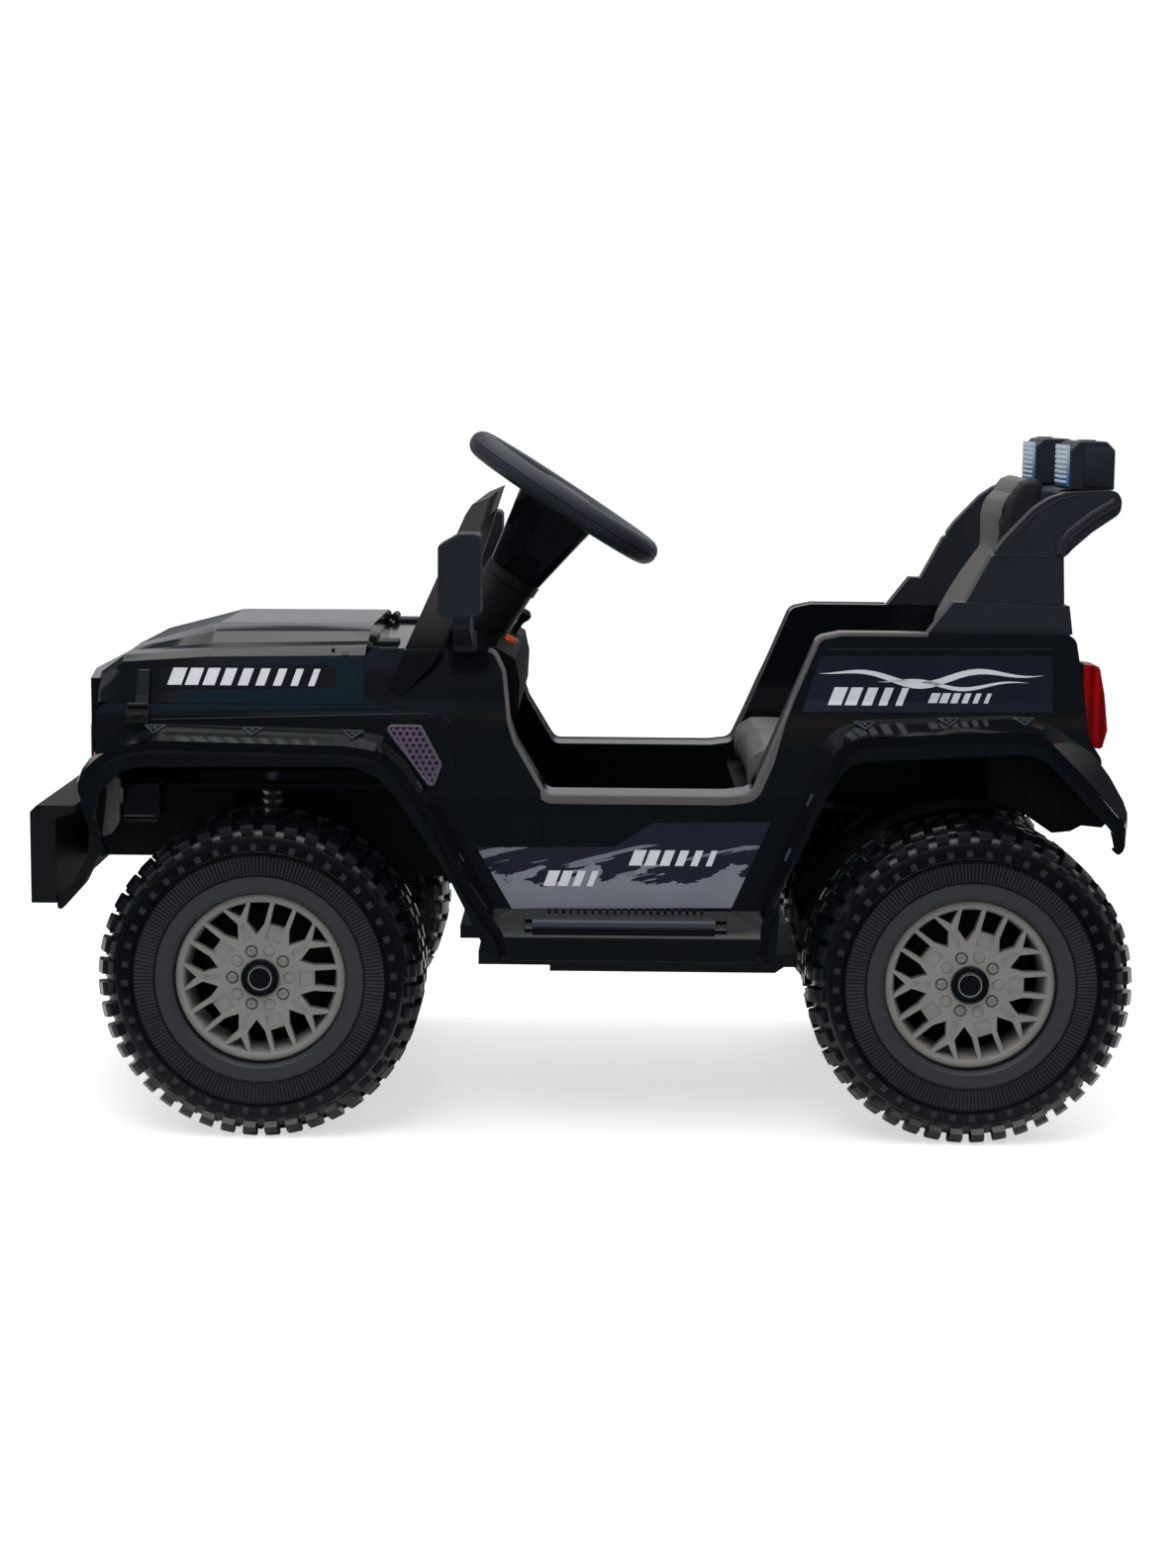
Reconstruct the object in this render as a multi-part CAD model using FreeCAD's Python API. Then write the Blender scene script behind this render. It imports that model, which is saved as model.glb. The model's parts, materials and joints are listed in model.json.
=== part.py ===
import FreeCAD, Part
import math
import os

# A child's battery ride-on car in an open off-road style, in millimetres.
# The front points along -X, the driver's left is -Y and Z is up.
# The origin lies on the ground, under the middle of the overall box.

V = FreeCAD.Vector
UP = V(0, 0, 1)
ACROSS = V(0, 1, 0)

# Driving dimensions of the whole car
wheelbase = 720
front_overhang = 237
rear_overhang = 153
roll_bar_rise = 195
mirror_span = 652
tyre_diameter = 330
tyre_width = 110
wheels_outer_width = 580

# Rises: the arches over the tyres, the sill over the axles, the seam over the
# front arch, and each other line of the body over the one below it
front_arch_rise = 75
rear_arch_rise = 92
sill_rise = 22
door_rise = 164
seam_rise = 34
crease_rise = 9
shoulder_rise = 48
deck_rise = 21

# Half widths of the body at those lines
sill_half = 250
ledge_half = 236
seam_half = 227
rim_half = 224
shoulder_half = 211
flare_half = 285
side_thickness = 35

# Clearances, and the length by which a cutter passes its piece
overrun = 100
running_gap = 0.5
seat_gap = 0.3

# Places that the driving dimensions give
overall_length = front_overhang + wheelbase + max(rear_overhang, tyre_diameter / 2)
front_axle_x = front_overhang - overall_length / 2
rear_axle_x = front_axle_x + wheelbase
tyre_radius = tyre_diameter / 2
hub_z = tyre_radius
wheel_outer = wheels_outer_width / 2
wheel_inner = wheel_outer - tyre_width
front_arch_z = tyre_diameter + front_arch_rise
rear_arch_z = tyre_diameter + rear_arch_rise
sill_z = hub_z + sill_rise
door_z = sill_z + door_rise
seam_z = front_arch_z + seam_rise
crease_z = seam_z + crease_rise
shoulder_z = crease_z + shoulder_rise
deck_z = shoulder_z + deck_rise
inner_half = rim_half - side_thickness
corner_reach_share = 0.45
flat_turn = math.radians(2)


def fore(share):
    """X at a share of the front overhang, ahead of the front axle."""
    return front_axle_x - share * front_overhang


def mid(share):
    """X at a share of the wheelbase, behind the front axle."""
    return front_axle_x + share * wheelbase


def aft(share):
    """X at a share of the rear overhang, behind the rear axle."""
    return rear_axle_x + share * rear_overhang


def between(low, high, share):
    """The value at a share of the way from low to high."""
    return low + (high - low) * share


def rounded_wire(points, radius):
    """A closed wire with its corners rounded as far as their edges allow."""
    corners = []
    for index, corner in enumerate(points):
        before = points[index - 1] - corner
        after = points[(index + 1) % len(points)] - corner
        turn = math.pi - before.getAngle(after)
        limit = min(before.Length, after.Length) * corner_reach_share
        reach = min(radius * math.tan(turn / 2), limit)
        before.normalize()
        after.normalize()
        if turn < flat_turn:
            corners.append((corner, corner, None))
            continue
        start = corner + before * reach
        end = corner + after * reach
        size = reach / math.tan(turn / 2)
        inward = before + after
        inward.normalize()
        middle = corner + inward * (size / math.cos(turn / 2) - size)
        corners.append((start, end, Part.Arc(start, middle, end).toShape()))
    edges = []
    for index, (start, end, arc) in enumerate(corners):
        if arc is not None:
            edges.append(arc)
        following = corners[(index + 1) % len(corners)][0]
        edges.append(Part.LineSegment(end, following).toShape())
    return Part.Wire(edges)


def face_of(points, radius=0):
    """A flat face, with sharp or rounded corners."""
    if radius:
        return Part.Face(rounded_wire(points, radius))
    return Part.Face(Part.makePolygon(points + [points[0]]))


def side_prism(outline, y0, y1, radius=0):
    """A solid with an (x, z) outline, from y0 to y1."""
    return face_of([V(x, y0, z) for x, z in outline], radius).extrude(V(0, y1 - y0, 0))


def cross_prism(outline, x0, x1, radius=0):
    """A solid with a (y, z) outline, from x0 to x1."""
    return face_of([V(x0, y, z) for y, z in outline], radius).extrude(V(x1 - x0, 0, 0))


def plan_prism(outline, z0, z1, radius=0):
    """A solid with an (x, y) outline, from z0 to z1."""
    return face_of([V(x, y, z0) for x, y in outline], radius).extrude(V(0, 0, z1 - z0))


def block(x0, x1, y0, y1, z0, z1):
    """A box between three pairs of limits."""
    low = V(min(x0, x1), min(y0, y1), min(z0, z1))
    return Part.makeBox(abs(x1 - x0), abs(y1 - y0), abs(z1 - z0), low)


def rod(start, end, radius):
    """A round bar between two points."""
    line = end - start
    return Part.makeCylinder(radius, line.Length, start, line)


def symmetric(half_outline):
    """A full (y, z) outline from its +Y half, listed from the bottom up."""
    return half_outline + [(-y, z) for y, z in reversed(half_outline)]


def mirrored(shape):
    """The same piece on the other side of the car."""
    return shape.mirror(V(0, 0, 0), ACROSS)


def with_twin(shape):
    """A piece and its mirror image as a list."""
    return [shape, mirrored(shape)]


def faceted(outline, foot, axis, count):
    """A ring with flat facets, from its closed (radius, rise) outline about an axis."""
    turned = FreeCAD.Placement(foot, FreeCAD.Rotation(UP, axis))
    rings = []
    for radius, rise in outline:
        angles = [2 * math.pi * (index + 1 / 2) / count for index in range(count)]
        rings.append([turned.multVec(V(radius * math.cos(a), radius * math.sin(a), rise))
                      for a in angles])
    faces = []
    for near, far in zip(rings, rings[1:] + rings[:1]):
        for index in range(count):
            faces.append(face_of([near[index - 1], near[index], far[index], far[index - 1]]))
    return whole_solid(Part.makeShell(faces))


def joined(shapes):
    """One solid from several that overlap or share faces."""
    return shapes[0].fuse(shapes[1:]).removeSplitter()


def whole_solid(shape):
    """A lofted solid turned the right way out."""
    solid = Part.makeSolid(shape.Shells[0])
    if solid.Volume < 0:
        solid.reverse()
    return solid


def save(name, shape):
    """Write one sub-part."""
    shape.exportStep("parts/" + name + ".step")


def save_pair(name, left_shape):
    """Write the left piece and its mirror image."""
    save(name + "_left", left_shape)
    save(name + "_right", mirrored(left_shape))


# Wheel-arch flares: a hollow band that follows each arch down to the sill.
# Heights are shares of the rise from the sill to the arch, and lengths are
# shares of the overhang outside the axle and of the tyre radius inside it.
flare_skin = 5
flare_lip = 6
flare_corner = 30
ridge_drop = 9
ridge_depth = 14
front_flare_tip_shares = [
    (0.679, 0.459), (0.717, 0.541), (0.776, 0.771), (0.764, 0.839),
    (0.692, 0.917), (0.608, 0.968), (0.460, 1.000)]
front_flare_leg_shares = [
    (0.539, 0.982), (0.752, 0.954), (0.867, 0.876), (1.079, 0.647),
    (1.261, 0.372), (1.394, 0.211), (1.491, 0.119), (1.539, 0.000)]
front_arch_leg_shares = [
    (1.418, 0.000), (1.261, 0.234), (1.170, 0.372), (1.018, 0.555),
    (0.836, 0.761), (0.721, 0.853), (0.570, 0.899)]
front_arch_tip_shares = [
    (0.506, 0.890), (0.595, 0.862), (0.675, 0.771), (0.705, 0.633), (0.655, 0.459)]
rear_flare_leg_shares = [
    (1.309, 0.000), (1.285, 0.145), (1.109, 0.404), (0.939, 0.745),
    (0.836, 0.915), (0.764, 0.953), (0.642, 0.970)]
rear_flare_tip_shares = [
    (0.275, 1.000), (0.471, 0.970), (0.732, 0.800), (0.935, 0.651),
    (1.000, 0.608), (1.000, 0.493), (0.948, 0.468)]
rear_arch_tip_shares = [
    (0.908, 0.579), (0.706, 0.715), (0.471, 0.877), (0.340, 0.915)]
rear_arch_leg_shares = [
    (0.703, 0.877), (0.794, 0.843), (0.867, 0.766), (1.036, 0.489),
    (1.170, 0.294), (1.200, 0.000)]


def front_points(tip_shares, leg_shares):
    """Front flare points ahead of the axle and behind it."""
    rise = front_arch_z - sill_z
    tip = [(fore(a), sill_z + b * rise) for a, b in tip_shares]
    leg = [(front_axle_x + a * tyre_radius, sill_z + b * rise) for a, b in leg_shares]
    return tip, leg


def rear_points(tip_shares, leg_shares):
    """Rear flare points behind the axle and ahead of it."""
    rise = rear_arch_z - sill_z
    tip = [(aft(a), sill_z + b * rise) for a, b in tip_shares]
    leg = [(rear_axle_x - a * tyre_radius, sill_z + b * rise) for a, b in leg_shares]
    return tip, leg


def front_flare_edge():
    """Outer edge of the front flare, from its tip to the sill."""
    tip, leg = front_points(front_flare_tip_shares, front_flare_leg_shares)
    return tip + leg


def front_arch_edge():
    """Arch edge of the front flare, from the sill to its tip."""
    tip, leg = front_points(front_arch_tip_shares, front_arch_leg_shares)
    return leg + tip


def rear_flare_edge():
    """Outer edge of the rear flare, from the sill to its tip."""
    tip, leg = rear_points(rear_flare_tip_shares, rear_flare_leg_shares)
    return leg + tip


def rear_arch_edge():
    """Arch edge of the rear flare, from its tip to the sill."""
    tip, leg = rear_points(rear_arch_tip_shares, rear_arch_leg_shares)
    return tip + leg


def under(edge):
    """The area below an arch's outer edge, closed on the ground."""
    return edge + [(edge[-1][0], 0), (edge[0][0], 0)]


def flare(outer_edge, arch_edge):
    """A skin along the outer edge, with a stepped ridge and a lip down to the arch."""
    band = side_prism(outer_edge + arch_edge, -flare_half, -inner_half, flare_corner)
    ridge_y = ridge_depth - flare_half

    def within(y, drop, depth):
        inside = face_of([V(x, y, z) for x, z in under(outer_edge)], flare_corner)
        return inside.makeOffset2D(-drop).extrude(V(0, depth, 0))

    hollow = within(ridge_y + flare_skin, flare_skin, flare_half)
    lip_hollow = within(flare_lip - flare_half, ridge_drop + flare_skin, flare_half)
    step = band.common(block(fore(1) - overrun, aft(1) + overrun, -flare_half - overrun, ridge_y,
                             0, rear_arch_z + overrun))
    step = step.cut(within(-flare_half - overrun, ridge_drop, flare_half + overrun))
    return band.cut([hollow, lip_hollow, step, body_envelope()])


# Body sides: double-walled panels from the nose corner to the tail.
# The sill is the widest part, and the panels lean in above the door line.
side_corner = 12
ledge_drop = 11
nose_corner_share = 0.720
cowl_front_share = 0.1417
cowl_rear_shares = [(0.325, 1.000), (0.340, 0.560), (0.349, -0.547), (0.357, -0.910)]
footwell_shares = [0.401, 0.655]
heel_shares = [(0.690, 0.020), (0.711, 0.223), (0.783, 0.970)]
rim_start_share = 0.815
tail_shares = [(0.686, 1.000), (0.752, 0.389), (0.778, -0.095), (0.863, -0.305),
               (0.863, -0.600)]


def body_envelope():
    """The solid whose skin is the outer face of both body sides."""
    half = [(sill_half, 0), (sill_half, door_z), (ledge_half, seam_z - ledge_drop),
            (seam_half, crease_z), (rim_half, deck_z), (rim_half, deck_z + overrun)]
    return cross_prism(symmetric(half), fore(1) - overrun, aft(1) + overrun)


def cockpit_edge():
    """The edge of the cockpit opening, from the cowl back to the rear deck."""
    rise = shoulder_z - crease_z
    edge = [(mid(a), crease_z + b * rise) for a, b in cowl_rear_shares]
    edge += [(mid(share), door_z) for share in footwell_shares]
    edge += [(mid(a), between(door_z, deck_z, b)) for a, b in heel_shares]
    return edge + [(mid(rim_start_share), deck_z)]


def tail_edge():
    """The rear edge of the body, from the deck down to the arch."""
    return [(aft(a), between(rear_arch_z, deck_z, b)) for a, b in tail_shares]


def body_side():
    """The left body side with its cockpit and wheel openings."""
    cowl_x = mid(cowl_front_share)
    nose_x = fore(nose_corner_share)
    outline = [(nose_x, seam_z), (cowl_x, seam_z), (cowl_x, shoulder_z)]
    outline += cockpit_edge() + tail_edge() + rear_arch_edge()[1:]
    outline += front_arch_edge()[:-2] + [(nose_x, front_arch_edge()[-3][1])]
    panel = side_prism(outline, -sill_half, -inner_half, side_corner)
    panel = panel.common(body_envelope())
    lean = [(-seam_half, crease_z), (-shoulder_half, shoulder_z),
            (-shoulder_half, shoulder_z + overrun), (-sill_half, shoulder_z + overrun),
            (-sill_half, crease_z)]
    hood_bay = block(fore(1), cowl_x, -sill_half, 0, seam_z, shoulder_z + overrun)
    return panel.cut([cross_prism(lean, fore(1), mid(footwell_shares[0])), hood_bay])


# Steps: sloping foot boards along the sill, between the legs of the flares
step_top_rise = 47
step_edge_rise = 24
tread_width = 9
tread_height = 3
tread_count = 2
step_tread_shares = [0.372, 0.657]


def step():
    """One foot board with raised treads, its ends shaped to the flares."""
    low = sill_z
    edge = V(0, -flare_half, sill_z + step_edge_rise)
    root = V(0, -sill_half, sill_z + step_top_rise)
    outline = [(-sill_half, low), (-flare_half, low), (edge.y, edge.z), (root.y, root.z)]
    start = front_flare_edge()[0][0]
    end = rear_flare_edge()[-1][0]
    board = cross_prism(outline, start, end)
    slope = root - edge
    pitch = 1 / (tread_count + 1)
    normal = V(0, -slope.z, slope.y).normalize() * tread_height
    span = slope * (tread_width / slope.Length)
    for index in range(tread_count):
        corner = edge + slope * (pitch * (index + 1)) - span * (1 / 2) - normal
        points = [corner, corner + span, corner + span + normal * 2, corner + normal * 2]
        first = mid(step_tread_shares[0])
        last = mid(step_tread_shares[1])
        tread = cross_prism([(p.y, p.z) for p in points], first, last)
        board = board.fuse(tread)
    legs = [side_prism(under(edge_line), -flare_half - tread_height, -sill_half)
            for edge_line in (front_flare_edge(), rear_flare_edge())]
    return board.removeSplitter().cut(legs)


# Vents: perforated triangular panels on the body sides behind the front arch
vent_shares = [(0.168, 0.740), (0.224, 0.740), (0.254, 0.360), (0.240, 0.100)]
vent_base_share = 0.72
vent_depth = 4
vent_frame = 5


def vent():
    """The framed vent, standing on the leaning body side."""
    low = sill_z + (front_arch_z - sill_z) * vent_base_share
    outline = [(mid(a), between(low, crease_z, b)) for a, b in vent_shares]
    plate = side_prism(outline, -sill_half - vent_depth, -inner_half, vent_frame)
    skin = body_envelope()
    skin.translate(V(0, -vent_depth, 0))
    return plate.common(skin).cut([body_side(), side_prism(
        under(front_flare_edge()), -flare_half, 0)]).cut(body_envelope())


# Hood: a shell with a raised middle, lofted through four sections
hood_wall = 5
plateau_rise = 73
hood_station_shares = [0.720, 0.620, 0.260]
hood_width_shares = [1.000, 0.930, 0.880, 0.710, 0.620, 0.440]
hood_tip_rise_shares = [0.000, 0.330, 0.400, 0.410, 0.420, 0.430]
hood_front_rise_shares = [0.000, 0.560, 0.640, 0.650, 0.670, 0.690]
hood_crest_rise_shares = [0.000, 0.640, 0.730, 0.770, 0.920, 1.000]
hood_back_rise_shares = [0.000, 0.680, 0.780, 0.820, 0.940, 1.010]


def hood_section(x, rise_shares, inset):
    """A closed section of the hood, inset by a wall for its inner side."""
    half = []
    for width_share, rise_share in zip(hood_width_shares, rise_shares):
        y = seam_half * width_share - inset
        z = seam_z + plateau_rise * rise_share
        if rise_share > 0:
            z -= inset
        else:
            z -= inset * 2
        half.append((y, z))
    points = [V(x, y, z) for y, z in symmetric(half)]
    return Part.makePolygon(points + [points[0]])


def hood():
    """The hood between the nose and the cowl, open below."""
    rises = [hood_tip_rise_shares, hood_front_rise_shares, hood_crest_rise_shares,
             hood_back_rise_shares]
    stations = [fore(share) for share in hood_station_shares]
    stations.append(mid(cowl_front_share) - seat_gap)
    outer = Part.makeLoft([hood_section(x, rise, 0) for x, rise in zip(stations, rises)],
                          True, True)
    stations[0] += hood_wall
    stations[-1] -= hood_wall
    inner = Part.makeLoft([hood_section(x, rise, hood_wall)
                           for x, rise in zip(stations, rises)], True, True)
    return whole_solid(outer).cut(whole_solid(inner))


# Nose: a bowed upright panel with a barred grille opening and square lamps
nose_wall = 8
nose_bow = 14
nose_bottom_share = 0.71
nose_half_share = 0.95
grille_half = 108
grille_height = 62
grille_bars = 5
grille_bar = 5
lamp_half = 33
lamp_height = 46
lamp_middle_share = 0.735
lamp_stand = 4
indicator_shares = [0.920, 1.060]
indicator_height = 32
indicator_depth = 14


def nose_back():
    """X of the face that the nose panel shares with the hood and the sides."""
    return fore(hood_station_shares[0]) - seat_gap


def nose_bottom():
    """The lower edge of the nose panel."""
    return between(sill_z, front_arch_z, nose_bottom_share)


def nose_middle():
    """The height of the grille's and the lamps' middle."""
    return (nose_bottom() + seam_z) / 2


def nose_plan(front_x, back_x, half):
    """The (x, y) outline of a bowed panel, deepest along its middle."""
    return [(back_x, -half), (front_x + nose_bow, -half), (front_x, -half / 2),
            (front_x, half / 2), (front_x + nose_bow, half), (back_x, half)]


def headlamp_at(y):
    """A headlamp through the nose panel."""
    front = nose_back() - nose_wall - nose_bow / 2 - lamp_stand
    return block(front, nose_back(), y - lamp_half, y + lamp_half,
                 nose_middle() - lamp_height / 2, nose_middle() + lamp_height / 2)


def lamp_y():
    """The distance of a headlamp from the centre line."""
    return seam_half * lamp_middle_share


def nose():
    """The panel under the hood's front edge."""
    front = nose_back() - nose_wall - nose_bow
    top = seam_z + plateau_rise * hood_tip_rise_shares[1]
    plan = nose_plan(front, nose_back(), seam_half * nose_half_share)
    panel = plan_prism(plan, nose_bottom(), top)
    low = nose_middle() - grille_height / 2
    opening = block(front - overrun, nose_back() + overrun, -grille_half, grille_half,
                    low, low + grille_height)
    panel = panel.cut(opening)
    pitch = grille_height / (grille_bars + 1)
    bars = []
    for index in range(grille_bars):
        z = low + pitch * (index + 1)
        bars.append(block(nose_back() - nose_wall, nose_back(), -grille_half, grille_half,
                          z - grille_bar / 2, z + grille_bar / 2))
    return joined([panel] + bars).cut([headlamp_at(-lamp_y()), headlamp_at(lamp_y())])


def indicator():
    """The left corner lamp beside the nose panel."""
    outer = seam_half * indicator_shares[1]
    inner = seam_half * nose_half_share
    low = nose_bottom() + indicator_height / 2
    return block(nose_back() - indicator_depth, nose_back(), -outer, -inner, low,
                 low + indicator_height)


# Cowl: the cross panel that closes the body between hood and dashboard
cowl_wall = 6


def cowl():
    """The cross panel with its front edge turned down."""
    front = mid(cowl_front_share)
    rear = mid(cowl_rear_shares[0][0])
    outline = [(front, seam_z), (front, shoulder_z), (rear, shoulder_z),
               (rear, shoulder_z - cowl_wall), (front + cowl_wall, shoulder_z - cowl_wall),
               (front + cowl_wall, seam_z)]
    return side_prism(outline, -inner_half, inner_half).cut(on_column(tube_span, tube_radius))


# Dashboard: the moulded panel facing the driver, with the charging socket
dash_shares = [(0.325, 0.000), (0.353, -0.148), (0.360, -0.432), (0.358, -0.815),
               (0.342, -1.000), (0.310, -1.000)]
dash_rise = 81
socket_radius = 3
socket_depth = 12
socket_y = 150
button_radius = 7
button_height = 5
button_y = -40


def dash_outline():
    """The (x, z) outline of the dashboard."""
    rear = mid(cowl_rear_shares[0][0])
    outline = [(mid(a), shoulder_z + b * dash_rise) for a, b in dash_shares]
    return outline + [(mid(dash_shares[-1][0]), shoulder_z - cowl_wall),
                      (rear, shoulder_z - cowl_wall)]


def dash_slope_point(share):
    """A point of the dashboard's sloping top, on the centre line."""
    start = dash_outline()[0]
    end = dash_outline()[1]
    return V(between(start[0], end[0], share), 0, between(start[1], end[1], share))


def dash_slope_normal():
    """The direction in which the dashboard's sloping top faces."""
    along = dash_slope_point(1) - dash_slope_point(0)
    return V(-along.z, 0, along.x).normalize()


def socket_mouth():
    """The middle of the charging socket's mouth, on the dashboard's sloping top."""
    return dash_slope_point(1 / 2) + ACROSS * socket_y


def dashboard():
    """The dashboard, bored for the steering column and the socket."""
    panel = side_prism(dash_outline(), -inner_half, inner_half)
    mouth = socket_mouth()
    depth = dash_slope_normal() * socket_depth
    socket = rod(mouth - depth, mouth + depth, socket_radius)
    slot = drive_lever_slot()
    return panel.cut([on_column(tube_span, tube_radius), socket, slot])


def start_button():
    """The round push button on the sloping top of the dashboard."""
    root = dash_slope_point(1 / 2) + ACROSS * button_y
    return rod(root, root + dash_slope_normal() * button_height, button_radius)


# Front bumper, its two arms and its side stays
bumper_half = 250
bumper_height = 101
bumper_bottom_share = 0.220
bumper_depth = 26
bumper_corner = 7
bumper_lip = 20
bumper_arm_inset = 28
bumper_arm_width = 24
bumper_arm_share = 0.45
stay_outer_share = 0.990
stay_inner_share = 0.900
stay_shares = [(0.000, 0.060), (0.400, 0.160), (0.780, 0.420), (1.000, 1.000)]
stay_width = 12
stay_foot_share = 0.25


def bumper_bottom():
    """The lower edge of the front bumper."""
    return between(sill_z, front_arch_z, bumper_bottom_share)


def bumper_back():
    """X of the bumper's rear face."""
    return fore(1) + bumper_depth


def front_bumper():
    """The bumper beam with its top flange, carried on two arms."""
    front = fore(1)
    low = bumper_bottom()
    high = low + bumper_height
    flange_x = bumper_back() + bumper_lip
    outline = [(front, low), (front, high - bumper_corner), (front + bumper_corner, high),
               (flange_x, high), (flange_x, high - bumper_corner),
               (bumper_back(), high - bumper_corner * 2), (bumper_back(), low)]
    beam = side_prism(outline, -bumper_half, bumper_half)
    arm_z = low + bumper_height * bumper_arm_share
    arm_y = bumper_arm_inset - chassis_half
    arm = block(bumper_back() - bumper_corner, fore(chassis_front_share),
                arm_y - bumper_arm_width / 2, arm_y + bumper_arm_width / 2,
                arm_z - bumper_arm_width, arm_z + bumper_arm_width / 2)
    return joined([beam] + with_twin(arm) + with_twin(bumper_stay()))


def bumper_stay():
    """The curved stay from the bumper's foot to the front corner of the body side."""
    top = front_arch_edge()[-3][1]
    start = bumper_back()
    end = fore(nose_corner_share)
    low = bumper_bottom()
    front = [(between(start, end, a), between(low, top, b)) for a, b in stay_shares]
    back = [(x + stay_width, z) for x, z in reversed(front[1:])]
    back.append((start, low - (low - sill_z) * stay_foot_share))
    outer = bumper_half * stay_outer_share
    inner = bumper_half * stay_inner_share
    return side_prism(front + back, -outer, -inner, stay_width)


# Chassis: floor pan, battery box, bulkhead and front box
pan_thickness = 14
pan_nose_share = 0.269
pan_front_share = 0.305
pan_rear_share = 0.761
pan_half_share = 0.944
battery_front_share = 0.405
battery_rear_share = 0.737
battery_half = 150
battery_drop = 24
bulkhead_wall = 6
kingpin_inset = 22
kingpin_y = wheel_inner - kingpin_inset
chassis_gap = 68
chassis_half = kingpin_y - chassis_gap
chassis_front_share = 0.560
chassis_wall = 6
chassis_rise = 75
chassis_foot = hub_z + chassis_rise
well_gap = 16
well_roof_z = tyre_diameter + well_gap
well_roof = 6
tower_shares = [0.460, 0.178]
tower_gap = 20
tower_half = kingpin_y - tower_gap
tower_drop = 30


def floor_pan():
    """The floor with its front wall, narrow between the front wheels."""
    half = sill_half * pan_half_share
    nose_half = chassis_half + chassis_wall
    outline = [(mid(pan_nose_share), -nose_half), (mid(pan_front_share), -nose_half),
               (mid(pan_front_share), -half), (mid(pan_rear_share), -half),
               (mid(pan_rear_share), half), (mid(pan_front_share), half),
               (mid(pan_front_share), nose_half), (mid(pan_nose_share), nose_half)]
    floor = plan_prism(outline, sill_z - pan_thickness, sill_z)
    return joined([floor, battery_housing(), bulkhead()] + pedal_ears())


def battery_housing():
    """The battery housing under the floor."""
    top = sill_z - pan_thickness
    low = top - battery_drop
    front = mid(battery_front_share)
    rear = mid(battery_rear_share)
    outline = [(front, top), (front, low), (rear, low),
               (mid(pan_rear_share), low + battery_drop / 2), (mid(pan_rear_share), top)]
    return side_prism(outline, -battery_half, battery_half)


def bulkhead():
    """The upright wall between the footwell and the front wheels."""
    x = mid(dash_shares[-1][0])
    top = dash_outline()[-3][1]
    return block(x, x + bulkhead_wall, -inner_half, inner_half, sill_z, top)


def front_chassis():
    """The box between the front wheels with the roofs of both wheel wells."""
    front = fore(chassis_front_share)
    rear = mid(dash_shares[-1][0])
    foot = block(front, rear, -chassis_half, chassis_half, chassis_foot, well_roof_z + well_roof)
    hollow = block(front + chassis_wall, rear - chassis_wall, chassis_wall - chassis_half,
                   chassis_half - chassis_wall, chassis_foot + chassis_wall,
                   well_roof_z + well_roof + overrun)
    roof_front = fore(nose_corner_share)
    roof = block(roof_front, rear, -inner_half, inner_half, well_roof_z,
                 well_roof_z + well_roof)
    tower = block(fore(tower_shares[0]), fore(tower_shares[1]), -tower_half,
                  -chassis_half, well_roof_z - tower_drop, well_roof_z)
    whole = joined([foot.cut(hollow), roof.cut(hollow)] + with_twin(tower))
    holes = [column_hole(shaft_radius + shaft_clearance)]
    for side in (-1, 1):
        holes.append(upright(side * kingpin_y, chassis_foot, well_roof_z + overrun,
                             kingpin_radius + kingpin_clearance))
    return joined([whole.cut(holes), front_axle_beam()])


# Front axle: a cross beam with a boss for each kingpin, and the springs above
kingpin_radius = 6
kingpin_clearance = 1
boss_radius = 13
spring_length = 46
boss_top_z = well_roof_z - spring_length
beam_depth = 36
beam_height = 24
knuckle_foot_drop = 18
knuckle_foot_z = hub_z - knuckle_foot_drop
nut_radius = 11
nut_height = 9
spring_radius = 12
spring_root = 9
spring_turns = 5
spring_facets = 24


def upright(y, z0, z1, radius):
    """A vertical round bar on the front axle line."""
    return rod(V(front_axle_x, y, z0), V(front_axle_x, y, z1), radius)


def beam_bottom():
    """The lower face of the front axle beam."""
    return chassis_foot - beam_height


def front_axle_beam():
    """The cross beam under the chassis, with an upright boss at each end."""
    pieces = [block(front_axle_x - beam_depth / 2, front_axle_x + beam_depth / 2, -kingpin_y,
                    kingpin_y, beam_bottom(), chassis_foot)]
    bores = []
    for side in (-1, 1):
        pieces.append(upright(side * kingpin_y, beam_bottom(), boss_top_z, boss_radius))
        web_y = side * (kingpin_y - boss_radius / 2)
        pieces.append(block(front_axle_x - beam_depth / 6, front_axle_x + beam_depth / 6,
                            side * chassis_half, web_y, beam_bottom(), boss_top_z))
        bores.append(upright(side * kingpin_y, 0, boss_top_z + overrun,
                             kingpin_radius + running_gap))
    return joined(pieces).cut(bores)


def spring():
    """The coil spring between the left boss and the roof of the wheel well."""
    pitch = spring_length / spring_turns
    core = kingpin_radius + kingpin_clearance
    outline = [(core, 0)]
    for index in range(spring_turns):
        z = pitch * index
        outline.append((spring_root, z))
        outline.append((spring_radius, z + pitch / 2))
    outline += [(spring_root, spring_length), (core, spring_length)]
    return faceted(outline, V(front_axle_x, -kingpin_y, boss_top_z), UP, spring_facets)


# Knuckles: kingpin, stub axle and steering arm in one piece
stub_radius = 6
stub_end_inset = 30
arm_length = 53
arm_width = 16
arm_thickness = 8
arm_rise = 21
arm_z = hub_z + arm_rise
pivot_radius = 4
pivot_height = 12


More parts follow.
